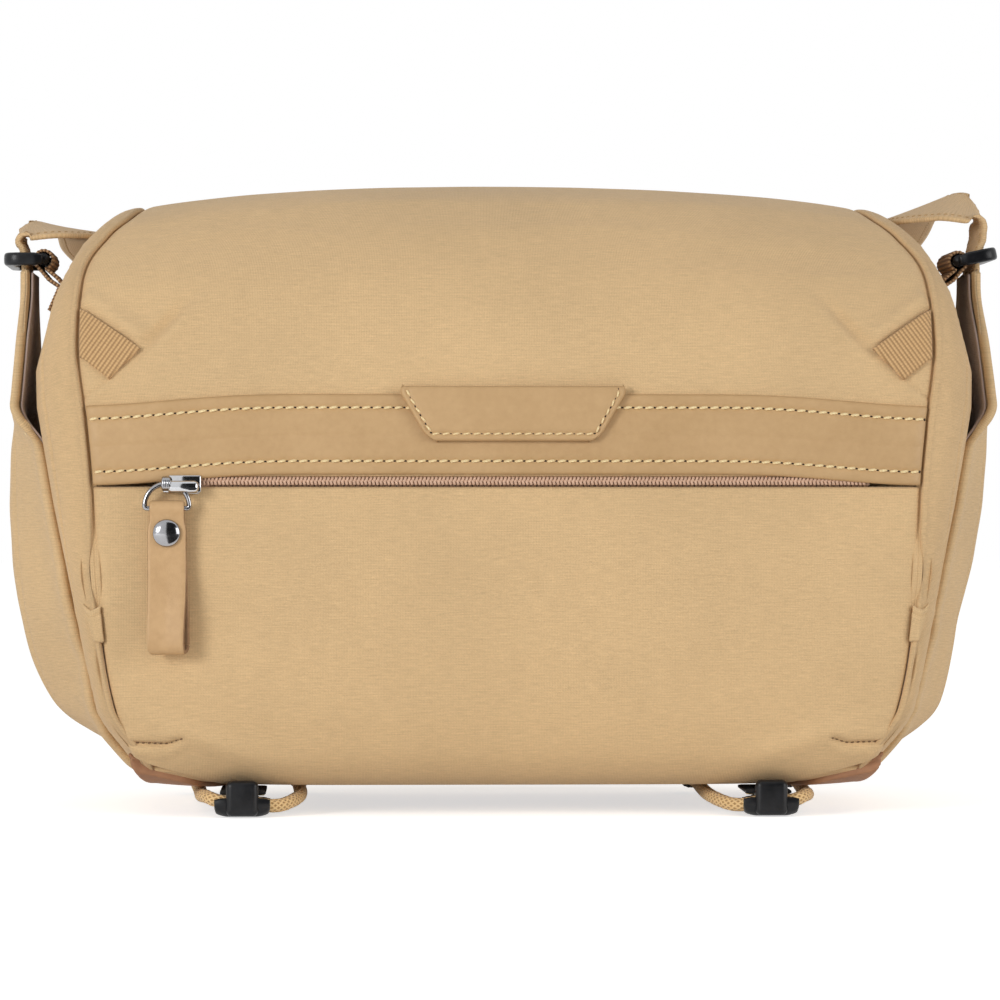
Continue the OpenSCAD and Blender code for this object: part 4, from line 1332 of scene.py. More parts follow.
@dataclass
class LeatherTrim:
    """The leather strip across the lid and the bare badge patch on its upper edge."""

    pocket: FrontPocket
    strip_gap: float = 0.0021
    strip_height: float = 0.0260
    strip_half: float = 0.137
    strip_fall: float = 0.0016 * 2.2
    leather: float = 0.0016
    badge_top: float = 0.076
    badge_low: float = 0.055
    badge_height: float = 0.0175
    badge_rise: float = 0.0022
    badge_shift: float = 0.0016
    badge_inset: float = 0.0023
    stitch_inset: float = 0.0044

    def low(self, x: Array) -> Array:
        """Height of the strip's lower edge: it falls away towards both ends."""
        fall = self.strip_fall * smooth((np.abs(x) / self.strip_half - 0.45) / 0.55) ** 1.5
        return self.pocket.zip_height + self.strip_gap - fall

    def lift(self, x: Array, g: Array) -> Array:
        """Height of the strip over the skin: soft edges and one faint crease along it."""
        edge = np.minimum(g, 1 - g) * self.strip_height
        lift = self.leather + 0.0003 - edge_roll(edge, 0.0016, 0.0010)
        lift = lift - 0.00050 * bump(edge, self.stitch_inset, 0.0010)
        lift = lift + 0.00016 * bump(g, 0.56, 0.06) - 0.00012 * bump(g, 0.48, 0.02)
        return lift + 0.00010 * noise(x / 0.045, g * 3.0, 11, 2)

    def strip(self) -> None:
        """The strip, sewn along both long edges."""
        cols, rows = 200, 44
        half = lid_half(np.array(LINES.station(0.12))) - 0.0004
        x = columns(cols, 0.4)[None, :] * half * np.ones((rows, 1))
        g = np.linspace(0, 1, rows)[:, None] * np.ones((1, cols))
        z = self.low(x) + self.strip_height * g
        t = LINES.front_at(z)
        x = x * (lid_half(t) - 0.0004) / half
        side = lid_half(t) - np.abs(x)
        out = self.lift(x, g) - edge_roll(side, 0.0040, 0.0024)
        role = ("lid", "tan_leather", "leather_strip")
        sheets("leather_strip_dressed", [STRIP_LEATHER], role, (LINES.skin(x, t, out), self.leather))
        lines = []
        places = np.linspace(-1, 1, 260)
        for g_line in (self.stitch_inset / self.strip_height, 1 - self.stitch_inset / self.strip_height):
            x = places * half
            z = self.low(x) + self.strip_height * g_line
            t = LINES.front_at(z)
            x = places * (lid_half(t) - 0.0010)
            side = lid_half(t) - np.abs(x)
            out = self.lift(x, np.full_like(x, g_line)) - edge_roll(side, 0.0040, 0.0024)
            lines.append(skin_line(x, t, out))
        Seam().rows("leather_strip_stitches", THREAD, role[:2], *lines)

    def badge_spot(self, f: Array, g: Array) -> tuple[Array, Array]:
        """Place across and height of a point of the badge patch.

        Args:
            f: Share across, -1 to 1.
            g: Share up, 0 to 1.

        Returns:
            The place across and the height.
        """
        top = self.pocket.zip_height + self.strip_gap + self.strip_height + self.badge_rise
        half = self.badge_low / 2 + (self.badge_top - self.badge_low) / 2 * g
        round_top = 0.0018 * np.clip((g - 0.82) / 0.18, 0, 1) ** 2
        round_low = 0.0022 * np.clip((0.20 - g) / 0.20, 0, 1) ** 2
        return self.badge_shift + f * (half - round_top - round_low), top - self.badge_height * (1 - g)

    def badge_lift(self, f: Array, g: Array) -> Array:
        """Height of the badge patch over the skin, with its sewn channel pressed in."""
        across = (1 - np.abs(f)) * self.badge_top / 2
        up = g * self.badge_height
        down = (1 - g) * self.badge_height
        edge = np.minimum(np.minimum(across, up), down)
        channel = np.minimum(across, up)
        lift = 2 * self.leather + 0.0015 - edge_roll(edge, 0.0013, 0.0012)
        return lift - 0.00055 * bump(channel, self.badge_inset, 0.0007) + 0.00025 * smooth(edge / 0.008)

    def badge(self) -> None:
        """The bare patch, sewn along its sides and foot."""
        rows, cols = 40, 120
        f = np.linspace(-1, 1, cols)[None, :] * np.ones((rows, 1))
        g = np.linspace(0, 1, rows)[:, None] * np.ones((1, cols))
        x, z = self.badge_spot(f, g)
        role = ("lid", "tan_leather", "badge_patch")
        face = LINES.skin(x, LINES.front_at(z), self.badge_lift(f, g))
        sheets("badge_patch_dressed", [STRIP_LEATHER], role, (face, 0.0020))
        g0 = self.badge_inset / self.badge_height
        f0 = 1 - 2 * self.badge_inset / self.badge_low
        f1 = 1 - 2 * self.badge_inset / self.badge_top
        down = np.linspace(0.95, g0, 40)
        run = np.concatenate([
            np.stack([-(f0 + (f1 - f0) * down), down], 1),
            np.stack([np.linspace(-f0, f0, 80), np.full(80, g0)], 1)[1:],
            np.stack([f0 + (f1 - f0) * down[::-1], down[::-1]], 1)[1:],
        ])
        x, z = self.badge_spot(run[:, 0], run[:, 1])
        line = skin_line(x, LINES.front_at(z), self.badge_lift(run[:, 0], run[:, 1]))
        Seam(0.0033, 0.0021, 0.00036).rows("badge_stitches", THREAD, role[:2], line)

    def build(self) -> None:
        """Builds the strip and the badge patch."""
        self.strip()
        self.badge()


def tab_edge(across: Array, height: Array) -> tuple[Array, Array]:
    """How far a place lies over a corner tab's upper edge, and its share along that edge from inside."""
    inside = np.array([float(lid_half(LINES.front_at(0.1525))) - 0.0205, 0.1528])
    outside = np.array([float(lid_half(LINES.front_at(0.1672))), 0.1672])
    run = outside - inside
    length = float(np.linalg.norm(run))
    a, b = across - inside[0], height - inside[1]
    return (b * run[0] - a * run[1]) / length, (a * run[0] + b * run[1]) / length**2


@dataclass
class Lid:
    """The lid's cloth over the crown, its padding and its inside."""

    pocket: FrontPocket
    cloth: float = 0.0012
    wall: float = 0.007
    pocket_depth: float = 0.006
    cols: int = 220

    def lift(self, x: Array, t: Array) -> Array:
        """The cloth's height over the skin, with the pull of the corner tabs."""
        p = LINES.skin(x, t, 0.0)
        z = p[..., 2]
        side = lid_half(t) - np.abs(x)
        end = np.maximum((LINES.zip_end + 0.05 - t) * 0.026, 0)
        lift = -edge_roll(side, 0.0042, 0.0024) - edge_roll(end, 0.0042, 0.0022)
        lift = lift - edge_roll(np.maximum(z - 0.1085, 0) + (t > 8) * 1.0, 0.0012, 0.0009)
        lift = lift + 0.00035 * noise(x / 0.05, t / 0.7, 21) * smooth(side / 0.01)
        for hand in (-1, 1):
            s = x * hand
            along = z - 0.152
            crease = (s - 0.1195) + along * 0.86
            reach = bump(along, 0.008, 0.0085)
            lift = lift - 0.0019 * bump(crease, 0.0, 0.0022) * reach
            lift = lift + 0.0013 * bump(crease, -0.0050, 0.0040) * reach
            over, share = tab_edge(s, z)
            beside = smooth(share / 0.2) * smooth((1.06 - share) / 0.1)
            lift = lift + 0.0016 * bump(over, 0.0036, 0.0030) * beside
            lift = lift - 0.0010 * bump(over, -0.0010, 0.0016) * beside
            fold = (z - 0.1372) - (0.1375 - s) * 0.78
            lift = lift - 0.0008 * bump(fold, 0.0, 0.0007) * smooth((s - 0.1275) / 0.003) * (z < 0.146)
            lift = lift + 0.0005 * bump(fold, -0.0026, 0.0020) * smooth((s - 0.1275) / 0.003)
        return lift

    def cavity(self, x: Array, t: Array) -> Array:
        """Depth of the front pocket behind the panel."""
        hinge = LINES.station(HINGE_Z)
        high = self.pocket.high_lip
        return (
            self.pocket_depth
            * smooth((t - hinge) / 0.6)
            * smooth((high + 0.8 - t) / 0.8)
            * smooth((1 - np.abs(x) / LINES.at(t)[..., 2]) / 0.14)
        )

    def cover(self) -> None:
        """The canvas from the zip's upper lip over the crown to the rear zip."""
        t = lid_stations(self.pocket.high_lip, 0.045)[:, None]
        x = columns(self.cols)[None, :] * np.maximum(lid_half(t), 0.01)
        t = t * np.ones_like(x)
        face = LINES.skin(x, t, self.lift(x, t))
        sheets("lid_canvas", [CANVAS], ("lid", "tan_fabric", "lid_cover"), (face, self.cloth))

    def padding(self) -> None:
        """The foam board, bound in cloth, and the lining inside it."""
        hinge = LINES.station(HINGE_Z) + 0.03
        t = np.linspace(hinge, LINES.zip_end - 0.02, 110)[:, None]
        x = columns(90)[None, :] * (LINES.rim(t) - 0.0002)
        t = t * np.ones_like(x)
        board = LINES.skin(x, t, -(self.cloth + 0.0016 + self.cavity(x, t)))
        role = ("lid", "tan_fabric", "lid_board")
        sheets("lid_padding", [CANVAS_SHADE], role, (board, self.wall - self.cloth - 0.0018))
        x = x * 0.985
        quilt = 0.0005 * np.cos(2 * math.pi * x / 0.062) * np.cos(2 * math.pi * t / 2.2)
        inside = LINES.skin(x, t, -self.wall - 0.0010 - self.cavity(x, t) + quilt)
        sheets("lid_lining_dressed", [LINING], ("lid", "taupe_lining", "lid_lining"), (inside, 0.0008))

    def build(self) -> None:
        """Builds the lid's soft pieces."""
        self.cover()
        self.padding()


@dataclass
class CornerTab:
    """Ribbed webbing sewn across an upper corner of the lid."""

    side: Side
    rib: float = 0.0013
    height: float = 0.0016

    def build(self) -> None:
        """Builds the tab, folded under at its inner end."""
        def half(z: float) -> float:
            """The lid's half width at a height."""
            return float(lid_half(LINES.front_at(z)))

        corners = np.array([
            [half(0.1505) - 0.0004, 0.1505],
            [half(0.1535) - 0.0105, 0.1428],
            [half(0.1525) - 0.0205, 0.1528],
            [half(0.1672) - 0.0002, 0.1672],
        ])
        low_out, low_in, high_in, high_out = corners
        rows, cols = 170, 50
        f = np.linspace(0, 1, rows)[:, None, None]
        g = np.linspace(0, 1, cols)[None, :, None]
        low = low_out + (low_in - low_out) * f
        high = high_out + (high_in - high_out) * f
        spot = low + (high - low) * g
        along = unit(high_in - high_out)
        length = (spot - high_out) @ along
        width = (spot - high_out) @ np.array([-along[1], along[0]])
        ribs = 0.00014 * np.cos(2 * math.pi * length / self.rib)
        ribs = ribs + 0.00006 * np.cos(2 * math.pi * width / 0.0011) * np.cos(math.pi * length / self.rib)
        edge = np.minimum(g[..., 0], 1 - g[..., 0]) * 0.014
        inner_end = (1 - f[..., 0]) * 0.024
        outer_end = f[..., 0] * 0.024
        out = self.height + ribs - edge_roll(edge, 0.0008, 0.0005)
        out = out - edge_roll(inner_end, 0.0014, 0.0012) - edge_roll(outer_end, 0.0036, 0.0022)
        grid = LINES.skin(spot[..., 0] * self.side.value, LINES.front_at(spot[..., 1]), out)
        places = np.stack([width, length], axis=-1)
        if self.side is Side.LEFT:
            grid, places = grid[:, ::-1], places[:, ::-1]
        role = ("lid", "ribbed_webbing", f"webbing_tab_{self.side.word}")
        sheets(f"corner_tab_{self.side.word}", [TAB_WEBBING], role, (grid, 0.0013, places))


# ---------------------------------------------------------------------------
# Body
# ---------------------------------------------------------------------------

GUSSET_RINGS = ((0.0, 0.0, 0.0), (0.12, 0.03, 0.15), (0.45, 0.17, 0.45), (0.80, 0.48, 0.75), (1.0, 1.0, 1.0))


def lookup(table: Sequence[tuple[float, float]], value: Array | float, spread: float = 0.0) -> Array:
    """A value from a table of pairs, averaged over a small spread so that no corner shows."""
    rows = np.array(table)
    steps = np.linspace(-spread, spread, 9)
    return np.mean([np.interp(np.asarray(value) + s, rows[:, 0], rows[:, 1]) for s in steps], axis=0)


def handed(grid: Array, side: Side) -> Array:
    """A grid made for the right side, mirrored with its faces kept outward for the left one."""
    if side is Side.RIGHT:
        return grid
    return (grid * MIRROR)[:, ::-1]


def gusset_at(t: Array | float, ring: Array | float, out: Array | float) -> Array:
    """Points of the right gusset.

    Args:
        t: Stations round the body.
        ring: Places from the zip's groove, 0, to the flat of the side, 4.
        out: Heights over the gusset's outside.

    Returns:
        The points.
    """
    t, ring, out = spread(t, ring, out)
    p, n, rear = LINES.at(t), LINES.outward(t), LINES.drawn_in(t)
    reach = LINES.side_half(rear[..., 2])
    knots = []
    for k, (across, inward, round_share) in enumerate(GUSSET_RINGS):
        edge = (LINES.rim(t) if k == 0 else p[..., 2]) + LINES.zip_groove
        start = LINES.skin(edge, t, 0.0)
        rest = start + (rear - start) * inward
        turn = math.pi / 2 * round_share
        flat = out * math.cos(turn)
        knots.append(np.stack([
            edge + (reach - edge) * across + out * math.sin(turn),
            rest[..., 1] + n[..., 0] * flat,
            rest[..., 2] + n[..., 1] * flat,
        ], axis=-1))
    table = np.stack(knots, axis=-2)
    i = np.clip(np.floor(ring).astype(int), 0, 3)
    f = (ring - i)[..., None]
    near = (
        np.take_along_axis(table, np.clip(i + k, 0, 4)[..., None, None], axis=-2)[..., 0, :]
        for k in (-1, 0, 1, 2)
    )
    return cubic(*near, f)


def drawn_foot(points: Array) -> Array:
    """Points of the right side, drawn in a little towards the ground beyond the base's edge."""
    low = 1 - smooth((points[..., 2] - 0.016) / 0.020)
    points[..., 0] -= 0.0062 * low * smooth((points[..., 0] - 0.112) / 0.012)
    return points


@dataclass
class Gusset:
    """A rounded band of padded cloth between the zip's groove and the side, all round the body."""

    side: Side
    cloth: float = 0.0030
    inner_depth: float = 0.0036
    inner_cloth: float = 0.0032
    rows: int = 520
    cols: int = 52
    seam_ring: float = 3.05

    def out(self, t: Array, ring: Array) -> Array:
        """Height of the cloth: a rolled zip edge, a sewn seam and soft puckers beside it."""
        seam = bump(ring, self.seam_ring, 0.10)
        out = -edge_roll(ring, 0.30, 0.0016) - 0.0012 * seam
        out = out + 0.0004 * bump(ring, 1.6, 0.9) * noise(t * 2.2, ring * 0.7, 31, 2)
        z = LINES.at(t)[..., 1]
        wedge = bump(ring, 0.9, 0.34) * bump(z, 0.0480, 0.0065) * (t < 6)
        out = out - 0.0016 * wedge
        pucker = bump(ring, self.seam_ring, 0.5) * (1 - seam)
        return out + 0.00028 * pucker * noise(t * 9.0, ring * 0.6, 33, 2)

    def grid(self, t: Array, ring: Array, out: Array) -> Array:
        """The band's points, its first column drawn over the groove."""
        points = gusset_at(t, ring, out)
        draw = (EDGE_OVERLAP + closing(t)) * np.clip(1 - ring / 0.6, 0, 1)
        open_zip = bump(points[..., 2], OPEN_ZIP_Z, 0.0085) * (t < 6) * 0.0016 * np.clip(1 - ring / 0.6, 0, 1)
        points[..., 0] -= draw - open_zip
        return drawn_foot(points)

    def build(self) -> None:
        """Builds the band and the lining behind it."""
        count = LINES.count
        t = np.linspace(0, count, self.rows, endpoint=False)[:, None]
        ring = np.concatenate([np.linspace(0, 0.36, 12)[:-1], np.linspace(0.36, 4, self.cols - 11)])[None, :]
        t, ring = np.broadcast_arrays(t, ring)
        outer = self.grid(t, ring, self.out(t, ring))
        v = arc(np.concatenate([outer[:, 20], outer[:1, 20]]))[:-1]
        places = np.stack(np.broadcast_arrays(ring * 0.0065, v[:, None]), axis=-1)
        parts = MeshParts()
        shell(parts, handed(outer, self.side), self.cloth, places, wrap=True)
        inner = drawn_foot(gusset_at(t, ring, -self.inner_depth))
        shell(parts, handed(inner, self.side), self.inner_cloth, places, wrap=True, slot=1)
        name = f"side_gusset_{self.side.word}"
        dress(parts.build(f"{name}_cloth", PADDED), "root", "tan_fabric", name)


@dataclass
class SidePanel:
    """The flat of a side, inside the gusset."""

    side: Side

    def build(self) -> None:
        """Builds the padded cloth with its lining."""
        count = LINES.count
        j = np.linspace(1.0, 12.0, 150)[:, None]
        f = np.linspace(0, 1, 60)[None, :]
        front = gusset_at(count - 2 + j, 3.96, 0.0)
        back = gusset_at(count - 2 - j, 3.96, 0.0)
        outer = drawn_foot(front + (back - front) * f[..., None])
        outer[..., 0] -= 0.0004
        inner = outer.copy()
        inner[..., 0] -= 0.0036
        name = f"side_board_{self.side.word}"
        layers = (handed(outer, self.side), 0.0030), (handed(inner, self.side), 0.0026)
        sheets(f"{name}_cloth", PADDED, ("root", "tan_fabric", name), *layers)


@dataclass
class BackAndBase:
    """The strip over the back, the back panel with its pads, the base and its leather cover."""

    pocket: FrontPocket
    fabric: float = 0.0012

    def grid(self, start: float, end: float, rows: int, inset: float = 0.0) -> tuple[Array, Array]:
        """Places across and stations over the body between the gussets.

        Args:
            start: The first station.
            end: The last station.
            rows: How many rows of points.
            inset: How far the sides stay off the gussets.

        Returns:
            The places across and the stations.
        """
        t = np.linspace(start, end, rows)[:, None]
        x = columns(120)[None, :] * (LINES.panel_half(t) - inset)
        return x, t * np.ones_like(x)

    def panel(self, name: str, start: float, end: float, rows: int, node: str) -> None:
        """One padded body panel: canvas outside, taupe lining inside.

        Args:
            name: The piece's name.
            start: The first station.
            end: The last station.
            rows: How many rows of points.
            node: The CAD node that it stands for.
        """
        x, t = self.grid(start, end, rows)
        side = LINES.panel_half(t) - np.abs(x)
        ends = np.minimum(t - start, end - t) * 0.028
        out = -edge_roll(side, 0.0022, 0.0014) - edge_roll(ends, 0.0018, 0.0012)
        out = out + 0.0003 * noise(x / 0.05, t / 0.8, 41, 2) * smooth(side / 0.01)
        layers = (LINES.skin(x, t, out), 0.0030), (LINES.skin(x, t, -0.0036), 0.0030)
        sheets(name, PADDED, ("root", "tan_fabric", node), *layers)

    def base_cover(self) -> None:
        """The brown leather under the base; it runs up under the front panel's foot."""
        f = columns(150)
        count = LINES.count
        reach = self.pocket.foot(f * 0.118) + count + 0.10
        g = np.linspace(0, 1, 110)[:, None]
        t = LINES.base_seam + (reach[None, :] - LINES.base_seam) * g
        x = f[None, :] * (LINES.panel_half(t) - 0.0002)
        side = LINES.panel_half(t) - np.abs(x)
        tuck = smooth((t - (reach[None, :] - 0.34)) / 0.16)
        out = self.fabric * (1 - tuck) - 0.0014 * tuck
        out = out - edge_roll(side, 0.0020, 0.0012) - edge_roll((t - LINES.base_seam) * 0.03, 0.0016, 0.0012)
        out = out + 0.00012 * noise(x / 0.02, t / 0.3, 51, 2)
        role = ("root", "brown_leather", "base_cover")
        sheets("base_leather", [BASE_LEATHER], role, (LINES.skin(x, t, out), self.fabric))

    def back_pad(self, side: Side) -> None:
        """A pad of spacer mesh on the back, crowned, with a bound edge."""
        inner, outer = 0.008, LINES.panel_width / 2 - 0.048
        start, end = LINES.back_seam + 0.4, LINES.base_seam - 1.2
        f = np.linspace(0, 1, 60)[None, :]
        g = np.linspace(0, 1, 90)[:, None]
        across = np.minimum(f, 1 - f) * (outer - inner)
        along = np.minimum(g, 1 - g) * (end - start) * 0.042
        corner = np.clip(1 - across / 0.016, 0, 1) ** 2 + np.clip(1 - along / 0.016, 0, 1) ** 2
        edge = 0.016 * (1 - np.sqrt(np.clip(corner, 0, 1)))
        out = 0.0006 + 0.0036 * smooth(edge / 0.009) + 0.0008 * bump(edge, 0.0, 0.0022)
        out = out - 0.0010 * bump(edge, 0.0042, 0.0012)
        x, t = np.broadcast_arrays(inner + (outer - inner) * f, start + (end - start) * g)
        pull = np.clip(corner - 1, 0, 1)
        x = x + (0.5 - f) * 0.010 * pull
        t = t + (0.5 - g) * 0.5 * pull
        grid = LINES.skin(x, t, out)[:, ::-1]
        forward = np.zeros_like(grid) - np.array([0.0, 1.0, 0.0])
        name = f"back_pad_{side.word}"
        role = ("root", "spacer_mesh", name)
        piece = sheets(f"{name}_mesh", [PAD_MESH], role, (handed(grid, side), 0.0008), inward=forward)

    def build(self) -> None:
        """Builds the panels."""
        start = LINES.zip_end + LINES.rear_gap * (1 - EDGE_OVERLAP / LINES.zip_groove)
        self.panel("rear_strip_cloth", start, LINES.back_seam, 60, "rear_top_strip")
        self.panel("back_cloth", LINES.back_seam, LINES.base_seam, 130, "back_panel")
        x, t = self.grid(LINES.base_seam, LINES.count - 0.4, 110)
        layers = (LINES.skin(x, t, -0.0004), 0.0024), (LINES.skin(x, t, -0.0036), 0.0030)
        sheets("base_board_cloth", PADDED, ("root", "tan_fabric", "base_panel"), *layers)
        self.base_cover()
        for side in Side:
            self.back_pad(side)


@dataclass
class Inside:
    """The compartment's lining and its two padded dividers."""

    offset: float = 0.046
    thickness: float = 0.008
    clear: float = 0.0104
    roof: float = 0.0132
    pocket_end: float = 4.09

    def lining(self) -> None:
        """The lining round the back, the base and the front foot."""
        end = LINES.count + LINES.station(HINGE_Z) - 0.15
        t = np.linspace(LINES.zip_end + 0.5, end, 200)[:, None]
        x = columns(110)[None, :] * (LINES.rim(t) - 0.003)
        t = t * np.ones_like(x)
        ripple = 0.0003 * noise(x / 0.03, t / 0.5, 61, 2)
        role = ("root", "taupe_lining", "compartment_lining")
        sheets("lining_cloth", [LINING], role, (LINES.skin(x, t, -0.0075 + ripple), 0.0008))

    def divider(self, side: Side) -> None:
        """One divider: a padded board that follows the compartment, sewn round its edge."""
        low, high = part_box(f"divider_{side.word}")
        hinge = LINES.station(HINGE_Z)
        t_low = np.linspace(LINES.back_seam - 0.3, LINES.count + hinge - 0.3, 60)
        t_high = np.linspace(hinge + 0.3, LINES.zip_end - 0.1, 60)
        below = LINES.skin(0.0, t_low, -self.clear)
        roof = self.roof + 0.006 * smooth((self.pocket_end + 0.8 - t_high) / 0.8)
        above = LINES.skin(0.0, t_high, -roof)
        rim = np.concatenate([below, above])[:, 1:]
        middle = (np.array([low[1], low[2]]) + np.array([high[1], high[2]])) / 2
        centre = side.value * self.offset
        half = self.thickness / 2
        rings = []
        for share, height in (
            (0.30, 1.0), (0.60, 1.0), (0.85, 0.97), (0.93, 0.80), (0.95, 0.55), (0.97, 0.80), (0.99, 0.70),
            (1.0, 0.35), (1.0, -0.35), (0.99, -0.70), (0.97, -0.80), (0.95, -0.55), (0.93, -0.80),
            (0.85, -0.97), (0.60, -1.0), (0.30, -1.0),
        ):
            ring = middle + (rim - middle) * share
            rings.append(np.concatenate([np.full((len(ring), 1), centre + half * height), ring], axis=1))
        grid = np.stack(rings)
        parts = MeshParts()
        parts.add(grid, grid[..., 1:], loop_faces(*grid.shape[:2], caps=True))
        name = f"divider_{side.word}"
        piece = dress(parts.build(f"{name}_padded", [LINING]), "root", "taupe_lining", name)

    def build(self) -> None:
        """Builds the lining and both dividers."""
        self.lining()
        for side in Side:
            self.divider(side)


@dataclass
class MainZip:
    """The main zip: two half coils on tapes in the groove, and cloth stops over its lower ends."""

    tooth: float = 0.00165
    depth: float = 0.0042
    raised: float = 0.0022
    garage_top: float = 0.069

    def route(self, offset: float) -> Array:
        """A line in the groove, from the right end over the top to the left end.

        Args:
            offset: Distance out from the lid's edge.

        Returns:
            The line's points.
        """
        start = LINES.station(self.garage_top - 0.006)
        t = np.concatenate([
            np.linspace(start, LINES.zip_end - LINES.corner_run, 500),
            LINES.zip_end - LINES.corner_run + LINES.corner_run * np.sin(np.linspace(0, math.pi / 2, 60)[1:]),
        ])
        x = LINES.rim(t) + offset
        gap = offset / LINES.rear_run
        turn = smooth((t - LINES.zip_end + LINES.corner_run) / LINES.corner_run) ** 4
        depth = self.depth - self.raised * bump(LINES.at(t)[..., 1], OPEN_ZIP_Z, 0.011) * (t < 6)
        right = LINES.skin(x, t + gap * turn, -depth)
        across = np.linspace(x[-1], 0, 60)[1:]
        middle = LINES.skin(across, LINES.zip_end + gap, -self.depth)
        half = np.concatenate([right, middle])
        return np.concatenate([half, half[-2::-1] * MIRROR])

    def half(self, near: float, far: float, body: str, node: str) -> None:
        """One half: a tape along the groove's side and a coil along its middle.

        Args:
            near: The coil's distance from the lid's edge.
            far: The tape's far edge from the lid's edge.
            body: The body that it rides on.
            node: The CAD node that it stands for.
        """
        coil = resample(self.route(near), self.tooth)
        edge = self.route(far)
        run = arc(edge) / arc(edge)[-1]
        own = arc(coil) / arc(coil)[-1]
        rim = between(own, run, edge)
        side = unit(rim - coil)
        up = unit(np.cross(np.gradient(coil, axis=0), side)) * math.copysign(1.0, far - near)
        parts = MeshParts()
        width = float(np.mean(np.linalg.norm(rim - coil, axis=1)))
        f = np.linspace(0, 1, 5)[None, :, None]
        tape = coil[:, None] + (rim - coil)[:, None] * f - up[:, None] * 0.0016
        if far > near:
            tape = tape[:, ::-1]
        shell(parts, tape, 0.0005)
        s = np.linspace(0, 1, 6)
        for k in range(len(coil)):
            path = (
                coil[k]
                + side[k] * (width * 0.9 * s - 0.0002)[:, None]
                + up[k] * (0.0006 * np.sin(math.pi * (0.25 + 0.75 * s)) - 0.0010)[:, None]
            )
            lean = np.gradient(coil, axis=0)[k] * 0.35
            tube(parts, path + lean * s[:, None], 0.00040, 5, 1)
        dress(parts.build(f"{node}_dressed", [CANVAS_SHADE, TAN_COIL]), body, "zip_coil", node)

    def garage(self, side: Side) -> None:
        """The cloth stop over one end of the zip."""
        low = LINES.station(self.garage_top - 0.012)
        high = LINES.station(self.garage_top)
        t = np.linspace(low, high, 36)[:, None]
        share = np.linspace(0, 1, 40)[None, :]
        t, share = np.broadcast_arrays(t, share)
        foot = (t - low) / (high - low) * 0.012
        end = 0.012 - foot
        ring = share * (1.1 + 0.7 * smooth(foot / 0.012))
        t = t - 0.05 * np.sin(math.pi * share) * foot / 0.012
        out = 0.0009 - edge_roll(end, 0.0010, 0.0006) - edge_roll(foot, 0.0012, 0.0012)
        out = out - edge_roll((1 - share) * 0.012, 0.0014, 0.0010) - 0.0004 * bump(end, 0.0026, 0.0006)
        points = gusset_at(t, ring, out)
        points[..., 0] -= 0.0020 * np.clip(1 - ring / 0.6, 0, 1)
        name = f"zip_garage_{side.word}"
        sheets(f"{name}_cloth", [CANVAS], ("root", "tan_fabric", name), (handed(points, side), 0.0009))

    def build(self) -> None:
        """Builds both halves and both stops."""
        groove = LINES.zip_groove
        self.half(groove / 2 - 0.0001, 0.0001, "lid", "main_zip_lid_coil")
        self.half(groove / 2 + 0.0001, groove - 0.0002, "root", "main_zip_body_coil")
        for side in Side:
            self.garage(side)


# ---------------------------------------------------------------------------
# Wing pockets, rings and strap
# ---------------------------------------------------------------------------


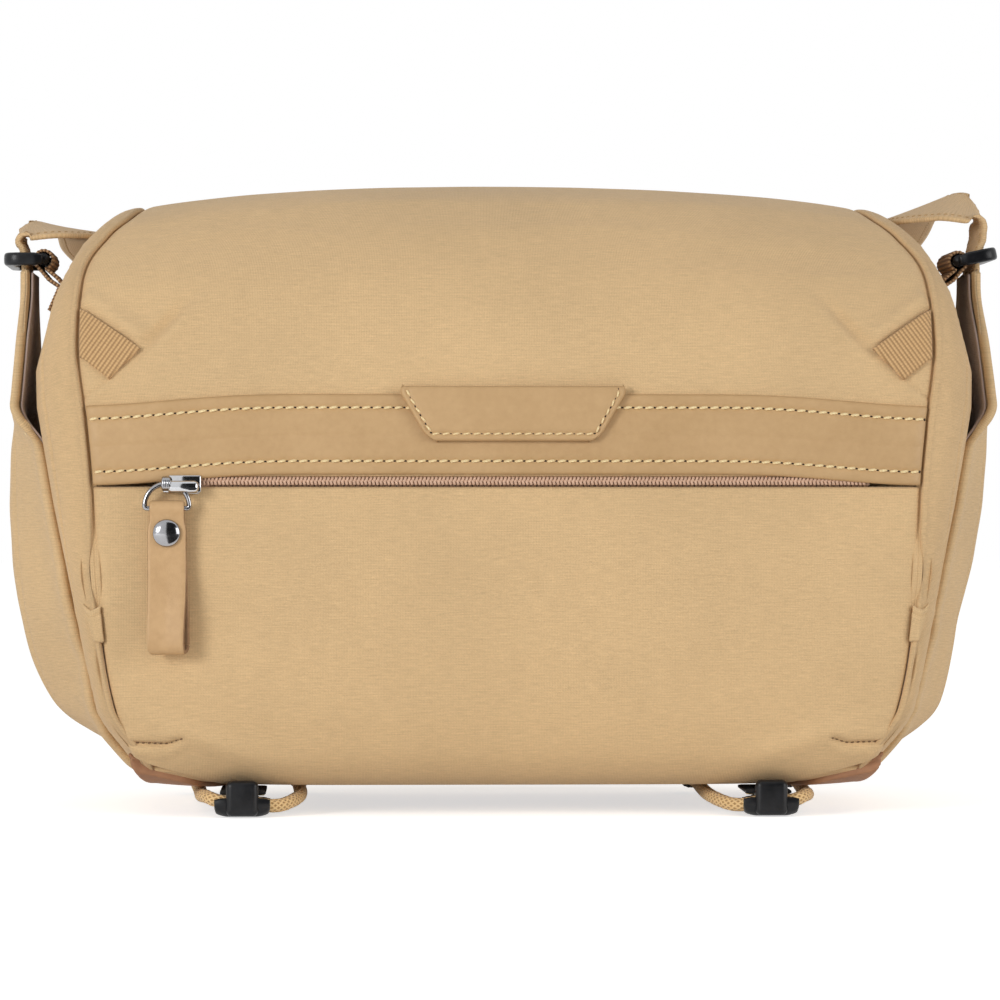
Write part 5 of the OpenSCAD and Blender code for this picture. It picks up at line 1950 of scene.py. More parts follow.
@dataclass
class WingPocket:
    """A padded pocket on a side that runs up into the strap ring, open at its upper edges."""

    side: Side
    low: float = 0.0125
    top: float = 0.180
    wall: float = 0.0030
    rows: int = 230
    cols: int = 130
    front_edge: tuple[tuple[float, float], ...] = (
        (0.0, 0.030), (0.1, 0.024), (0.3, 0.0205), (0.58, 0.021), (0.66, 0.025), (0.73, 0.033),
        (0.78, 0.044), (0.81, 0.050),
    )
    back_edge: tuple[tuple[float, float], ...] = (
        (0.0, 0.112), (0.1, 0.122), (0.3, 0.127), (0.55, 0.126), (0.66, 0.117), (0.73, 0.102),
        (0.78, 0.087), (0.81, 0.080),
    )
    shares: tuple[tuple[float, float], ...] = (
        (0.00, 0.870), (0.03, 0.908), (0.06, 0.968), (0.095, 1.042), (0.13, 1.083), (0.163, 1.113),
        (0.197, 1.135), (0.231, 1.149), (0.30, 1.170), (0.36, 1.180), (0.45, 1.187), (0.55, 1.184),
        (0.64, 1.168), (0.70, 1.163), (0.81, 1.157), (0.86, 1.157),
    )
    slimmer: tuple[tuple[float, float], ...] = (
        (0.0150, 0.0), (0.0218, -0.0036), (0.0286, -0.0005), (0.0354, 0.0027), (0.0422, 0.0051),
        (0.0490, 0.0068), (0.0558, 0.0075), (0.0626, 0.0078), (0.0694, 0.0071), (0.0830, 0.0048),
        (0.1034, 0.0024), (0.1350, 0.0),
    )

    @staticmethod
    def near(height: Array) -> Array:
        """Half width that the wing lies on: the side, drawn in round the gusset's foot."""
        foot = LINES.base_height + LINES.gusset_depth
        run = float(LINES.side_half(foot)) - float(LINES.at(21.0)[2]) - LINES.zip_groove
        u = np.clip((foot - height) / LINES.gusset_depth, 0, 1)
        return LINES.side_half(np.maximum(height, foot)) - run * (1 - np.sqrt(1 - u * u)) + 0.0036

    def at(self, height: Array, f: Array, out: Array | float) -> Array:
        """Points of the right wing.

        Args:
            height: Heights over the ground.
            f: Shares from the front edge, 0, to the back edge, 1.
            out: Heights over the wing's outside.

        Returns:
            The points.
        """
        s = LINES.share(height)
        y = lookup(self.front_edge, s, 0.02) * (1 - f) + lookup(self.back_edge, s, 0.02) * f
        hold = smooth((s - 0.555) / 0.075)
        rise, fall = smooth(f / 0.34), smooth((1 - f) / 0.30)
        swell = (rise + (1 - rise) * hold) * (fall + (1 - fall) * hold)
        near = self.near(height)
        far = LINES.panel_width / 2 * lookup(self.shares, s, 0.015)
        if self.side is Side.RIGHT:
            far = far - lookup(self.slimmer, height, 0.003)
        far = np.maximum(far, near)
        return drawn_foot(np.stack([near + (far - near) * swell + out, FRONT_Y + y, height], axis=-1))

    def out(self, height: Array, f: Array) -> Array:
        """Height of the cloth over the wing's form: hems, seams and wrinkles."""
        s = LINES.share(height)
        across = np.minimum(f, 1 - f) * 0.1
        open_edge = smooth((s - 0.54) / 0.06)
        full = smooth(across / 0.02) * smooth((height - 0.016) / 0.03)
        out = -edge_roll(across, 0.0030, 0.0022) * (1 - open_edge)
        out = out - edge_roll(height - self.low, 0.0040, 0.0026)
        out = out + 0.0010 * full * noise(f * 3.2, height / 0.045, 71 + self.side.value)
        fold = bump(across, 0.008, 0.010) * smooth((height - 0.014) / 0.010)
        fold = fold * (1 - smooth((height - 0.075) / 0.03))
        out = out + 0.0013 * fold * noise(f * 6.0, height / 0.0085, 75 + self.side.value, 2)
        out = out - 0.0008 * open_edge * bump(across, 0.0048, 0.0009)
        seam = f - (0.20 + 0.10 * (1 - s))
        return out - 0.0009 * bump(seam, 0.0, 0.010) * (1 - open_edge)

    def build(self) -> None:
        """Builds the pocket, its hem's stitches and its lining."""
        g = 0.5 - 0.5 * np.cos(np.linspace(0, math.pi, self.rows))
        height = (self.low + (self.top - self.low) * (0.3 * g + 0.7 * np.linspace(0, 1, self.rows)))[:, None]
        f = (0.5 + 0.5 * columns(self.cols, 0.8))[None, :]
        height, f = np.broadcast_arrays(height, f)
        name = f"wing_pocket_{self.side.word}"
        face = handed(self.at(height, f, self.out(height, f)), self.side)
        piece = sheets(f"{name}_cloth", [CANVAS], ("root", "tan_fabric", name), (face, self.wall))
        start = self.low + (self.top - self.low) * 0.5
        z = np.linspace(start, self.top - 0.0006, 110)[:, None]
        g = (0.5 + 0.486 * columns(70, 0.6))[None, :]
        z, g = np.broadcast_arrays(z, g)
        name = f"wing_lining_{self.side.word}"
        face = handed(self.at(z, g, -self.wall - 0.0004), self.side)
        sheets(f"{name}_cloth", [LINING], ("root", "taupe_lining", name), (face, 0.0008))
        z = np.linspace(0.124, self.top - 0.002, 120)
        hand = self.side.value
        up = np.tile([float(hand), 0.0, 0.0], (len(z), 1))
        lines = []
        for share in (0.048, 0.952):
            g = np.full_like(z, share)
            lines.append((self.at(z, g, self.out(z, g)) * np.array([hand, 1.0, 1.0]), up))
        seam = Seam(0.0032, 0.0023, 0.00028)
        seam.rows(f"wing_stitches_{self.side.word}", THREAD, ("root", "tan_fabric"), *lines)


RING_PIN = joint_record("side_ring_right_tilt")["pos_m"]
RING_Y, RING_Z = float(RING_PIN[1]), float(RING_PIN[2])
RING_FAR = -float(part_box("side_ring_left")[0][0])
STRAP_X = RING_FAR - 0.0110


@dataclass
class StrapRing:
    """A moulded ring whose inner bar turns in its webbing, and that webbing."""

    side: Side
    tilt: float
    axis_x: float = float(RING_PIN[0])
    far_x: float = RING_FAR - 0.0042
    thickness: float = 0.0044
    length: float = 0.040
    frame: float = 0.0036
    bar: float = 0.0020
    clearance: float = 0.00035
    ply: float = 0.0014
    webbing_width: float = 0.030

    def turned(self, points: Array) -> Array:
        """The ring's points, tilted about its bar and set on its side."""
        angle = math.radians(self.tilt)
        x, z = points[:, 0] - self.axis_x, points[:, 2] - RING_Z
        turned = np.stack([
            self.axis_x + x * math.cos(angle) - z * math.sin(angle),
            points[:, 1],
            RING_Z + x * math.sin(angle) + z * math.cos(angle),
        ], axis=1)
        return turned * np.array([self.side.value, 1.0, 1.0])

    def ring(self) -> None:
        """The ring: a frame of soft-edged section, open to its round bar."""
        half = self.frame / 2
        y0, y1 = RING_Y - self.length / 2 + half, RING_Y + self.length / 2 - half
        x0, x1 = self.axis_x, self.far_x - half
        radius = 0.0034
        turn = np.linspace(0, math.pi / 2, 12)
        corner = np.concatenate([
            np.array([[x0, y0]]),
            np.stack([x1 - radius + radius * np.sin(turn), y0 + radius - radius * np.cos(turn)], 1),
            np.stack([x1 - radius + radius * np.cos(turn), y1 - radius + radius * np.sin(turn)], 1),
            np.array([[x0, y1]]),
        ])
        line = resample(np.column_stack([corner, np.full(len(corner), RING_Z)]), 0.0007)
        run = unit(np.gradient(line, axis=0))
        across = np.cross(run, np.array([0.0, 0.0, 1.0]))
        sides = 20
        angle = np.arange(sides) * 2 * math.pi / sides
        c, s = np.cos(angle), np.sin(angle)
        wide = np.sign(c) * np.abs(c) ** 0.55 * half
        tall = np.sign(s) * np.abs(s) ** 0.55 * self.thickness / 2
        end = np.minimum(arc(line), arc(line)[-1] - arc(line))
        shrink = 0.72 + 0.28 * smooth(end / 0.003)
        ring = (
            line[:, None]
            + across[:, None] * (wide[None, :] * shrink[:, None])[..., None]
            + np.array([0.0, 0.0, 1.0]) * (tall[None, :] * shrink[:, None])[..., None]
        )
        places = np.repeat(arc(line), sides)
        parts = MeshParts()
        faces = loop_faces(len(line), sides, flip=self.side is Side.LEFT, caps=True)
        parts.add(self.turned(ring.reshape(-1, 3)), np.column_stack([places, places]), faces)
        ends = self.turned(np.array([[x0, y0 + 0.0004, RING_Z], [x0, y1 - 0.0004, RING_Z]]))
        tube(parts, np.linspace(ends[0], ends[1], 24), self.bar, sides)
        name = f"side_ring_{self.side.word}"
        dress(parts.build(f"{name}_moulded", [BLACK]), name, "black_plastic", name)

    def webbing(self) -> None:
        """The brown ribbed webbing: an eye round the bar and a tail sewn to the side."""
        eye = self.bar + self.clearance + self.ply / 2
        foot, knee = RING_Z - 0.017, RING_Z - 0.009
        lay = 0.0003 + self.ply / 2
        foot_x = float(LINES.side_half(foot)) + lay
        knee_x = float(LINES.side_half(knee)) + lay
        turn = np.linspace(math.radians(255), math.radians(-50), 40)
        loop = np.stack([self.axis_x + eye * np.cos(turn), RING_Z + eye * np.sin(turn)], 1)
        path = np.concatenate([
            [[foot_x, foot], [knee_x, knee]],
            [[(knee_x + loop[0][0]) / 2 - 0.0004, (knee + loop[0][1]) / 2 + 0.0002]],
            loop,
            [[(knee_x + loop[-1][0]) / 2 + 0.0012, (knee + loop[-1][1]) / 2 - 0.0006]],
            [[knee_x + self.ply + 0.0002, knee], [foot_x + self.ply + 0.0002, foot]],
        ])
        points = np.column_stack([path[:, 0] * self.side.value, np.full(len(path), RING_Y), path[:, 1]])
        points = resample(points, 0.0003)
        facing = np.tile([0.0, float(self.side.value), 0.0], (len(points), 1))
        parts = MeshParts()
        band(parts, points, facing, self.webbing_width, self.ply - 0.0002, 24, relief=ribbed(0.00010))
        name = f"ring_webbing_{self.side.word}"
        dress(parts.build(f"{name}_ribbed", [BROWN_WEBBING]), "root", "ribbed_webbing", name)

    def build(self) -> None:
        """Builds the ring and its webbing."""
        self.ring()
        self.webbing()


@dataclass
class ShoulderStrap:
    """The strap: from one wing's tip through its ring, over and down the back, and up again."""

    width: float = 0.030
    thickness: float = 0.0021
    behind: float = 0.151
    wing_top: float = 0.180
    adjuster_at: int = 13

    def side(self, *shoulder: Spot) -> Array:
        """Half of the strap's centre line, from a wing's tip to the middle of the back.

        Args:
            shoulder: The points from the ring over its bar to the back: across, depth, and height in
                ring heights.

        Returns:
            The points, for the right side.
        """
        b = self.behind
        rows = [
            (0, 0.065, (self.wing_top + 0.0004) / RING_Z), (0, 0.065, 1), (0.0008, 0.065, 1.02), *shoulder,
            (-0.033, b - 0.001, 0.985), (-0.037, b + 0.004, 0.9), (-0.040, b + 0.007, 0.772),
            (-0.044, b + 0.009, 0.609), (-0.052, b + 0.011, 0.446), (-0.066, b + 0.014, 0.304),
            (-0.088, b + 0.015, 0.207), (-0.118, b + 0.016, 0.152), (-STRAP_X, b + 0.016, 0.13),
        ]
        return np.array(rows) * (1, 1, RING_Z) + (STRAP_X, FRONT_Y, 0)

    @staticmethod
    def facing(*rises: float) -> Array:
        """Direction of the strap's width at each point of a half, with its rises over the ring."""
        level = (0, 1, 0)
        ways = (0, 1), (0, 1), (0.38, 0.9), (0.80, 0.5), (1, 0.12)
        arch = [(*way, rise) for way, rise in zip(ways, rises)]
        return np.array([
            level, level, level, *arch, (1, 0.04, 0.20), (1, 0.03, 0.08), (1, 0.15, 0), (1, 0.1, -0.04),
            (1, 0.05, 0), (1, 0.05, 0), (1, 0.12, 0), (0.9, 0.6, 0), (0.45, 1, 0), (0.15, 1, 0), level, level,
        ], dtype=float)

    def build(self) -> None:
        """Builds the strap, its stitches and its adjuster."""
        right = self.side(
            (0.0022, 0.065, 1.050), (0.0014, 0.065, 1.086), (-0.0058, 0.0662, 1.104),
            (-0.0150, 0.0735, 1.102), (-0.0205, 0.086, 1.092), (-0.0222, 0.103, 1.078),
            (-0.0232, 0.122, 1.060), (-0.0280, 0.140, 1.024),
        )
        left = self.side(
            (0.0020, 0.065, 1.036), (0.0006, 0.065, 1.052), (-0.0064, 0.0662, 1.060),
            (-0.0155, 0.0735, 1.057), (-0.0208, 0.086, 1.053), (-0.0224, 0.103, 1.047),
            (-0.0232, 0.122, 1.036), (-0.0280, 0.140, 1.014),
        )
        turns = self.facing(0.15, 0.30, 0.34, 0.35, 0.34)
        turns_left = self.facing(0.10, 0.20, 0.20, 0.15, 0.12)
        points = np.concatenate([right, left[-2::-1] * MIRROR])
        facings = np.concatenate([turns, turns_left[-2::-1] * MIRROR])
        t = np.linspace(0, len(points) - 1, 1200)
        path, facing = catmull(points, t), catmull(facings, t)
        parts = MeshParts()

        def weave(f: Array, _: Array) -> Array:
            """Height of the strap's face: a padded middle and sewn edges."""
            edge = (1 - np.abs(f)) * self.width / 2
            return 0.00018 * smooth(edge / 0.004) - 0.00022 * bump(edge, 0.0026, 0.0005)

        band(parts, path, facing, self.width, self.thickness, 26, relief=weave)
        strap = parts.build("strap_cloth_run", [STRAP_CLOTH])
        dress(strap, "root", "strap_webbing", "shoulder_strap")
        _, across, up = frames_along(path, facing)
        inset, lift = self.width / 2 - 0.0026, self.thickness / 2 - 0.0002
        lines = [
            (path + across * edge * inset + up * face * lift, up * face)
            for edge in (-1, 1)
            for face in (-1, 1)
        ]
        seam = Seam(0.0024, 0.0017, 0.00022, holes=False, sides=5, rings=4)
        sewn = seam.rows("strap_stitches", STRAP_THREAD, ("root", "strap_webbing"), *lines)
        spot = self.adjuster_at
        self.adjuster(points[spot], points[spot + 1] - points[spot - 1], turns[spot])

    def adjuster(self, spot: Array, run: Array, facing: Array) -> None:
        """The three-bar slide on the strap behind the back.

        Args:
            spot: Its middle on the strap.
            run: The strap's direction there.
            facing: The direction of the strap's width there.
        """
        gap, rod, rail = self.thickness / 2 + 0.0004, 0.0016, 0.0026
        span = self.width / 2 + 0.0006
        run = unit(run)
        across = unit(facing - run * float(np.dot(run, facing)))
        out = np.cross(run, across)
        parts = MeshParts()
        for x in (-span - rail / 2, span + rail / 2):
            for level in (-1, 1):
                a = spot + across * x + out * level * (gap + rod) - run * 0.0090
                path = np.linspace(a, a + run * 0.018, 12)
                tube(parts, path, np.array([0.0010] + [0.0015] * 10 + [0.0010]), 14)
            for z in (-0.0084, 0.0, 0.0084):
                a = spot + across * x - out * (gap + rod) + run * z
                tube(parts, np.linspace(a, a + out * 2 * (gap + rod), 8), 0.0013, 12)
        for z, level in ((-0.0084, 1), (0.0084, 1), (0.0, -1)):
            a = spot - across * (span + 0.001) + out * level * (gap + rod) + run * z
            tube(parts, np.linspace(a, a + across * 2 * (span + 0.001), 16), rod, 14)
        dress(parts.build("strap_adjuster_moulded", [BLACK]), "root", "black_plastic", "strap_adjuster")


# ---------------------------------------------------------------------------
# Hooks and bungee loops
# ---------------------------------------------------------------------------


@dataclass
class CordHook:
    """A moulded hook on its webbing tab, the bungee loop through it, and the loop's rear anchors."""

    side: Side
    offset: float = 0.0865
    mid: float = 0.009
    cord: float = 0.0045
    clearance: float = 0.00035
    wall: float = 0.0016
    width: float = 0.0182
    saddle: float = 0.0106
    base_under: float = 0.0083
    spread: float = 0.0175
    anchor_depth: float = 0.1247
    tab_width: float = 0.015
    anchor_width: float = 0.012
    anchor_ply: float = 0.0012

    @property
    def eye(self) -> float:
        """Radius of the hook's eye."""
        return self.cord / 2 + self.clearance

    @property
    def eye_z(self) -> float:
        """Height of the cord in the hook."""
        return self.wall + self.eye

    @property
    def cord_z(self) -> float:
        """Height of the cord under the base."""
        return self.base_under - self.cord / 2 - self.clearance

    def place(self, x: float, y: float, z: float) -> Array:
        """A point by its distance from the hook's middle, its depth and its height."""
        return np.array([(self.offset + x) * self.side.value, FRONT_Y + y, z])

    def hook(self) -> None:
        """The hook: an open lip that the cord lies in, a saddle over the cord, and a tongue behind."""
        outer, tall = self.eye + self.wall, self.eye_z + self.eye + self.wall
        turn = np.linspace(math.radians(152), math.radians(388), 30)
        around = np.stack([np.cos(turn), np.sin(turn)], 1)
        section = np.concatenate([around * outer, around[::-1] * self.eye])
        section[:30, 1] = np.maximum(section[:30, 1] * 1.05, -self.eye_z)
        stations = np.linspace(-1, 1, 41)
        u = np.clip(1 - (1 - np.abs(stations)) * self.width / 2 / 0.0046, 0, 1)
        low = 0.0038 * (1 - np.sqrt(1 - u * u))
        height = self.eye_z + section[None, :, 1]
        height = tall - (tall - height) * ((tall - low) / tall)[:, None] - (0.0014 * u**3)[:, None]
        depth = self.mid + section[None, :, 0] * (1 - 0.12 * u**2)[:, None]
        across = np.broadcast_to((stations * self.width / 2)[:, None], height.shape)
        points = np.stack([(self.offset + across) * self.side.value, FRONT_Y + depth, height], axis=-1)
        count, sides = height.shape
        faces = loop_faces(count, sides)
        for i, turned in ((0, True), (count - 1, False)):
            for j in range(29):
                face = (i * sides + j, i * sides + j + 1, i * sides + 58 - j, i * sides + 59 - j)
                faces.append(face[::-1] if turned else face)
        if self.side is Side.RIGHT:
            faces = [face[::-1] for face in faces]
        parts = MeshParts()
        parts.add(points, np.stack([across, height], axis=-1), faces)
        top = self.base_under - self.clearance - 0.0013 - 0.0003
        axes = (np.array([1.0, 0.0, 0.0]), np.array([0.0, 1.0, 0.0]), np.array([0.0, 0.0, 1.0]))
        front = self.place(0, self.mid - outer + 0.0009, (self.base_under + 0.0036) / 2 + 0.0001)
        rounded_block(parts, front, axes, (self.saddle, 0.0042, self.base_under + 0.0034), 0.0020, steps=8)
        over = self.place(0, self.mid + 0.0020, top + 0.0008)
        rounded_block(parts, over, axes, (self.saddle - 0.0006, 0.0092, 0.0022), 0.0009)
        run = np.linspace(self.mid + 0.0028, self.mid + 0.0128, 14)
        tongue = np.array([self.place(0, y, top - 0.0012) for y in run])
        facing = np.tile([1.0, 0.0, 0.0], (len(tongue), 1))
        band(parts, tongue, facing, self.saddle, 0.0022, 16)
        name = f"cord_hook_{self.side.word}"
        dress(parts.build(f"{name}_moulded", [BLACK]), "root", "black_plastic", name)

    def tab(self) -> None:
        """The dark webbing tab that holds the hook, with three rows of bartacks."""
        z = self.base_under - self.clearance - 0.00065
        line = np.array([self.place(0, y, z) for y in np.linspace(self.mid + 0.0062, self.mid + 0.0378, 110)])
        facing = np.tile([1.0, 0.0, 0.0], (len(line), 1))
        parts = MeshParts()
        band(parts, line, facing, self.tab_width, 0.0011, 16, relief=ribbed(0.00008))
        for k in range(3):
            y = self.mid + 0.0085 + 0.0028 * k
            row = np.array([self.place(x, y, z - 0.0007) for x in np.linspace(-0.0069, 0.0069, 66)])
            row[:, 1] += 0.0005 * np.sign(np.sin(np.arange(66) * 1.9))
            tube(parts, row, 0.00032, 5, 1)
        name = f"hook_tab_{self.side.word}"
        dress(parts.build(f"{name}_webbing", [DARK_WEBBING, THREAD]), "root", "ribbed_webbing", name)

    def loop(self) -> None:
        """The braided bungee cord, from one rear anchor through the hook to the other."""
        s, cz = self.spread, self.cord_z
        outside = [
            (s, self.anchor_depth + 0.013, cz), (s, 0.100, cz), (0.0155, 0.062, cz), (0.0142, 0.036, cz),
            (0.0136, 0.024, 0.0060), (0.0120, 0.0160, 0.0062), (0.0092, 0.0108, 0.0054),
            (0.0052, self.mid, 0.0045),
        ]
        inside = [
            (-0.0052, self.mid, 0.0042), (-0.0090, 0.0098, 0.0035), (-0.0128, 0.0125, 0.0036),
            (-0.0160, 0.0175, 0.0045), (-0.0182, 0.0255, 0.0054), (-0.0188, 0.040, cz), (-0.0184, 0.062, cz),
            (-s, 0.100, cz),
            (-s, self.anchor_depth + 0.013, cz),
        ]
        points = np.array([self.place(*p) for p in [*outside, (0.0, self.mid, self.eye_z), *inside]])
        path = resample(catmull(points, np.linspace(0, len(points) - 1, 500)), 0.00040)
        LOG.info("bungee loop is %.3f m long", float(arc(path)[-1]))

        def braid(turn: Array, along: Array) -> Array:
            """Relief of the sheath's crossing strands."""
            lay = 0.0078
            one = np.cos(2 * math.pi * (6 * turn + along / lay))
            two = np.cos(2 * math.pi * (6 * turn - along / lay))
            return 0.00010 * np.maximum(one, two)

        parts = MeshParts()
        tube(parts, path, self.cord / 2 - 0.0001, 28, up=np.array([0.0, 0.0, 1.0]), relief=braid)
        name = f"bungee_{self.side.word}"
        piece = dress(parts.build(f"{name}_braided", [BRAID]), "root", "bungee_cord", name)

    def anchors(self) -> None:
        """The webbing loops at the rear seam that hold the loop's ends."""
        radius = self.eye + self.anchor_ply / 2 + 0.0001
        parts = MeshParts()
        for x in (-self.spread, self.spread):
            turn = np.linspace(math.radians(140), math.radians(400), 40)
            circle = [(x + radius * math.cos(a), self.cord_z + radius * math.sin(a)) for a in turn]
            lay = self.base_under - 0.0009
            profile = [(x - radius - 0.0042, lay), (x - radius - 0.0014, lay)] + circle[1:-1]
            profile += [(x + radius + 0.0014, lay), (x + radius + 0.0042, lay)]
            y = self.anchor_depth + 0.006
            points = resample(np.array([self.place(a, y, b) for a, b in profile]), 0.0004)
            facing = np.tile([0.0, float(self.side.value), 0.0], (len(points), 1))
            band(parts, points, facing, self.anchor_width, self.anchor_ply, 12, relief=ribbed(0.00008))
        name = f"cord_anchor_{self.side.word}"
        dress(parts.build(f"{name}_webbing", [DARK_WEBBING]), "root", "ribbed_webbing", name)

    def build(self) -> None:
        """Builds the hook, its tab, the cord and its anchors."""
        self.hook()
        self.tab()
        self.loop()
        self.anchors()


# ---------------------------------------------------------------------------
# Zip pulls
# ---------------------------------------------------------------------------


def rounded_block(
    parts: MeshParts,
    centre: Array,
    axes: tuple[Array, Array, Array],
    size: tuple[float, float, float],
    radius: float,
    taper: tuple[float, float] = (1.0, 1.0),
    steps: int = 5,
) -> None:
    """Adds a block with rounded edges, tapered along its first axis.

    Args:
        parts: The mesh that grows.
        centre: The block's middle.
        axes: Its three directions.
        size: Its full sizes along them.
        radius: The radius of its edges.
        taper: Its width at the start and at the end, as shares.
        steps: How many faces go round each edge.
    """
    half = np.array(size) / 2
    turn = np.linspace(0, math.pi / 2, steps + 1)
    outline = []
    for quarter, (sx, sy) in enumerate(((1, 1), (-1, 1), (-1, -1), (1, -1))):
        for a in turn:
            b = a + quarter * math.pi / 2
            outline.append((sx * (half[1] - radius), sy * (half[2] - radius), math.cos(b), math.sin(b)))
    rows = []
    for k, a in enumerate(np.concatenate([turn[::-1], turn])):
        first = k <= steps
        x = (-1 if first else 1) * (half[0] - radius + radius * math.sin(a))
        grow = radius * math.cos(a)
        f = (x + half[0]) / (2 * half[0])
        wide = taper[0] + (taper[1] - taper[0]) * f
        rows.append([(x, (p[0] + p[2] * grow) * wide, p[1] + p[3] * grow) for p in outline])
    grid = np.array(rows)
    points = centre + grid[..., 0:1] * axes[0] + grid[..., 1:2] * axes[1] + grid[..., 2:3] * axes[2]
    right_handed = float(np.dot(np.cross(axes[0], axes[1]), axes[2])) > 0
    parts.add(points, grid[..., :2], loop_faces(*grid.shape[:2], flip=right_handed, caps=True))


@dataclass
class FrontPull:
    """The front zip's slider, its wire ring, the folded leather puller and the domed rivet."""

    pin: tuple[float, float, float] = tuple(joint_record("pull_ring_swing")["pos_m"])
    bar_z: float = float(joint_record("puller_swing")["pos_m"][2])
    wire: float = 0.0016
    ring_width: float = 0.016
    leather: float = 0.0016
    width: float = 0.0124
    length: float = 0.0476
    rivet: float = 0.009
    rivet_drop: float = 0.008

    def __post_init__(self) -> None:
        """Places the slider in its CAD box and unpacks the ring's pin."""
        self.x, self.pin_y, self.pin_z = self.pin
        low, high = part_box("front_slider")
        self.slider_x = (low[0] + high[0]) / 2
        self.slider_z = low[2] + 0.0028

    def slider(self) -> None:
        """The slider: two tapered plates, a nose and a bridge with the ring's eye."""
        right, up, out = np.eye(3)[0], np.eye(3)[2], -np.eye(3)[1]
        parts = MeshParts()
        base = np.array([self.slider_x, FRONT_Y - 0.0018, self.slider_z])
        axes = (right, up, out)
        front = base + out * 0.0010 + right * 0.0012 + up * 0.0008
        rounded_block(parts, front, axes, (0.0108, 0.0058, 0.0016), 0.0007)
        rounded_block(parts, base - out * 0.0010, axes, (0.0118, 0.0050, 0.0010), 0.0004, taper=(0.80, 1.0))
        rounded_block(parts, base + right * 0.0040, axes, (0.0030, 0.0024, 0.0024), 0.0006)
        oval = np.array([self.x + 0.0052, self.pin_y - 0.0002, self.pin_z - 0.0010])
        rounded_block(parts, oval, axes, (0.0104, 0.0040, 0.0034), 0.00165, steps=8)
        rounded_block(parts, (oval + base) / 2 + right * 0.0010, axes, (0.0060, 0.0026, 0.0036), 0.0008)
        eye = self.wire / 2 + 0.0009
        turn = np.linspace(0, 2 * math.pi, 37)[:-1]
        circle = np.stack([
            np.full(36, self.x), self.pin_y + eye * np.cos(turn), self.pin_z + eye * np.sin(turn),
        ], 1)
        for shift in np.linspace(-0.0010, 0.0006, 4):
            tube(parts, circle + right * shift, 0.00075, 12, 1, closed=True)
        piece = parts.build("front_slider_metal", [STEEL, GUNMETAL])
        dress(piece, "front_slider", "polished_steel", "front_slider")

    def ring(self) -> None:
        """The wire ring: a straight bar below and an arched top through the slider's eye."""
        arch = (self.ring_width - self.wire) / 2
        corner = 0.0007
        over = np.linspace(0, math.pi, 40)
        turn = np.linspace(0, math.pi / 2, 8)
        low = self.bar_z
        outline = np.concatenate([
            np.stack([self.x + arch * np.cos(over), self.pin_z - arch + arch * np.sin(over)], 1),
            np.stack([self.x - arch + corner * (1 - np.cos(turn)), low + corner * (1 - np.sin(turn))], 1),
            np.stack([self.x + arch - corner * (1 - np.sin(turn)), low + corner * (1 - np.cos(turn))], 1),
        ])
        outline = np.concatenate([outline, outline[:1]])
        depth = np.full(len(outline), self.pin_y)
        path = resample(np.column_stack([outline[:, 0], depth, outline[:, 1]]), 0.0004)[:-1]
        parts = MeshParts()
        tube(parts, path, self.wire / 2, 16, up=np.tile([0.0, -1.0, 0.0], (len(path), 1)), closed=True)
        dress(parts.build("pull_ring_wire", [GUNMETAL]), "pull_ring", "polished_steel", "pull_ring")

    def leather_loop(self) -> None:
        """The leather: one loop round the bar, riveted below it and open towards its round foot."""
        eye = self.wire / 2 + 0.0003 + self.leather / 2
        foot = self.bar_z - self.length + self.leather / 2
        turn = np.linspace(math.radians(-62), math.radians(242), 40)
        gap = self.leather / 2 + 0.00006
        bulge = 0.0034
        round_foot = gap + bulge / 2

        def ahead(z: float) -> float:
            """How far the front ply stands away from the back one at a height."""
            return bulge * float(smooth((foot + 0.036 - z) / 0.032))

        curl = np.linspace(0, math.pi, 16)
        front = [
            (gap - round_foot * (1 - math.cos(a)), foot + round_foot * (1 - math.sin(a)) * 0.9) for a in curl
        ]
        rise = np.linspace(foot + round_foot * 0.9, self.bar_z - 0.0046, 60)[1:]
        front += [(-gap - ahead(z), z) for z in rise]
        back = [(gap, z) for z in np.linspace(self.bar_z - 0.0046, foot + round_foot * 0.9 + 0.0004, 60)]
        loop = [(eye * math.cos(a), eye * math.sin(a)) for a in turn[::-1]]
        profile = np.array(front + [(p[0], self.bar_z + p[1]) for p in loop] + back)
        smoothed = profile.copy()
        for _ in range(10):
            smoothed[1:-1] = (smoothed[:-2] + 2 * smoothed[1:-1] + smoothed[2:]) / 4
        line = np.column_stack([np.full(len(smoothed), self.x), self.pin_y + smoothed[:, 0], smoothed[:, 1]])
        line = resample(line, 0.0006)
        f = columns(26, 0.9)[None, :]
        run = unit(np.gradient(line, axis=0))
        outward = unit(np.cross(np.array([1.0, 0.0, 0.0]), run))
        neck = smooth((line[:, 2] - (self.bar_z - 0.0075)) / 0.0040)
        inner = (self.ring_width - 2 * self.wire - 0.0016) / 2
        half = (self.width / 2) * (1 - neck) + inner * neck
        low = np.clip((foot + 0.0014 - line[:, 2]) / 0.0022, 0, 1)
        half = half - 0.0014 * low**2
        edge = (1 - np.abs(f)) * half[:, None]
        lift = self.leather / 2 - edge_roll(edge, 0.0009, 0.0005)
        lift = lift + 0.00010 * noise(f * 1.5, line[:, 2:3] / 0.012, 81, 2)
        cols = f.shape[1]
        top = line[:, None] + outward[:, None] * lift[..., None]
        top[..., 0] += f * half[:, None]
        sink = self.leather / 2 - edge_roll(edge, 0.0006, 0.0003)
        under = line[:, None] - outward[:, None] * sink[..., None]
        under[..., 0] += f * half[:, None]
        grid = np.concatenate([top, under[:, ::-1]], axis=1)
        twist = math.radians(19) * smooth((foot + 0.036 - grid[..., 2]) / 0.036)
        x, y = grid[..., 0] - self.x, grid[..., 1] - self.pin_y - gap
        grid[..., 0] = self.x + x * np.cos(twist) + (y + 0.0042) * np.sin(twist)
        bow = self.pin_y + gap - np.abs(x) * 0.25 * np.sin(twist)
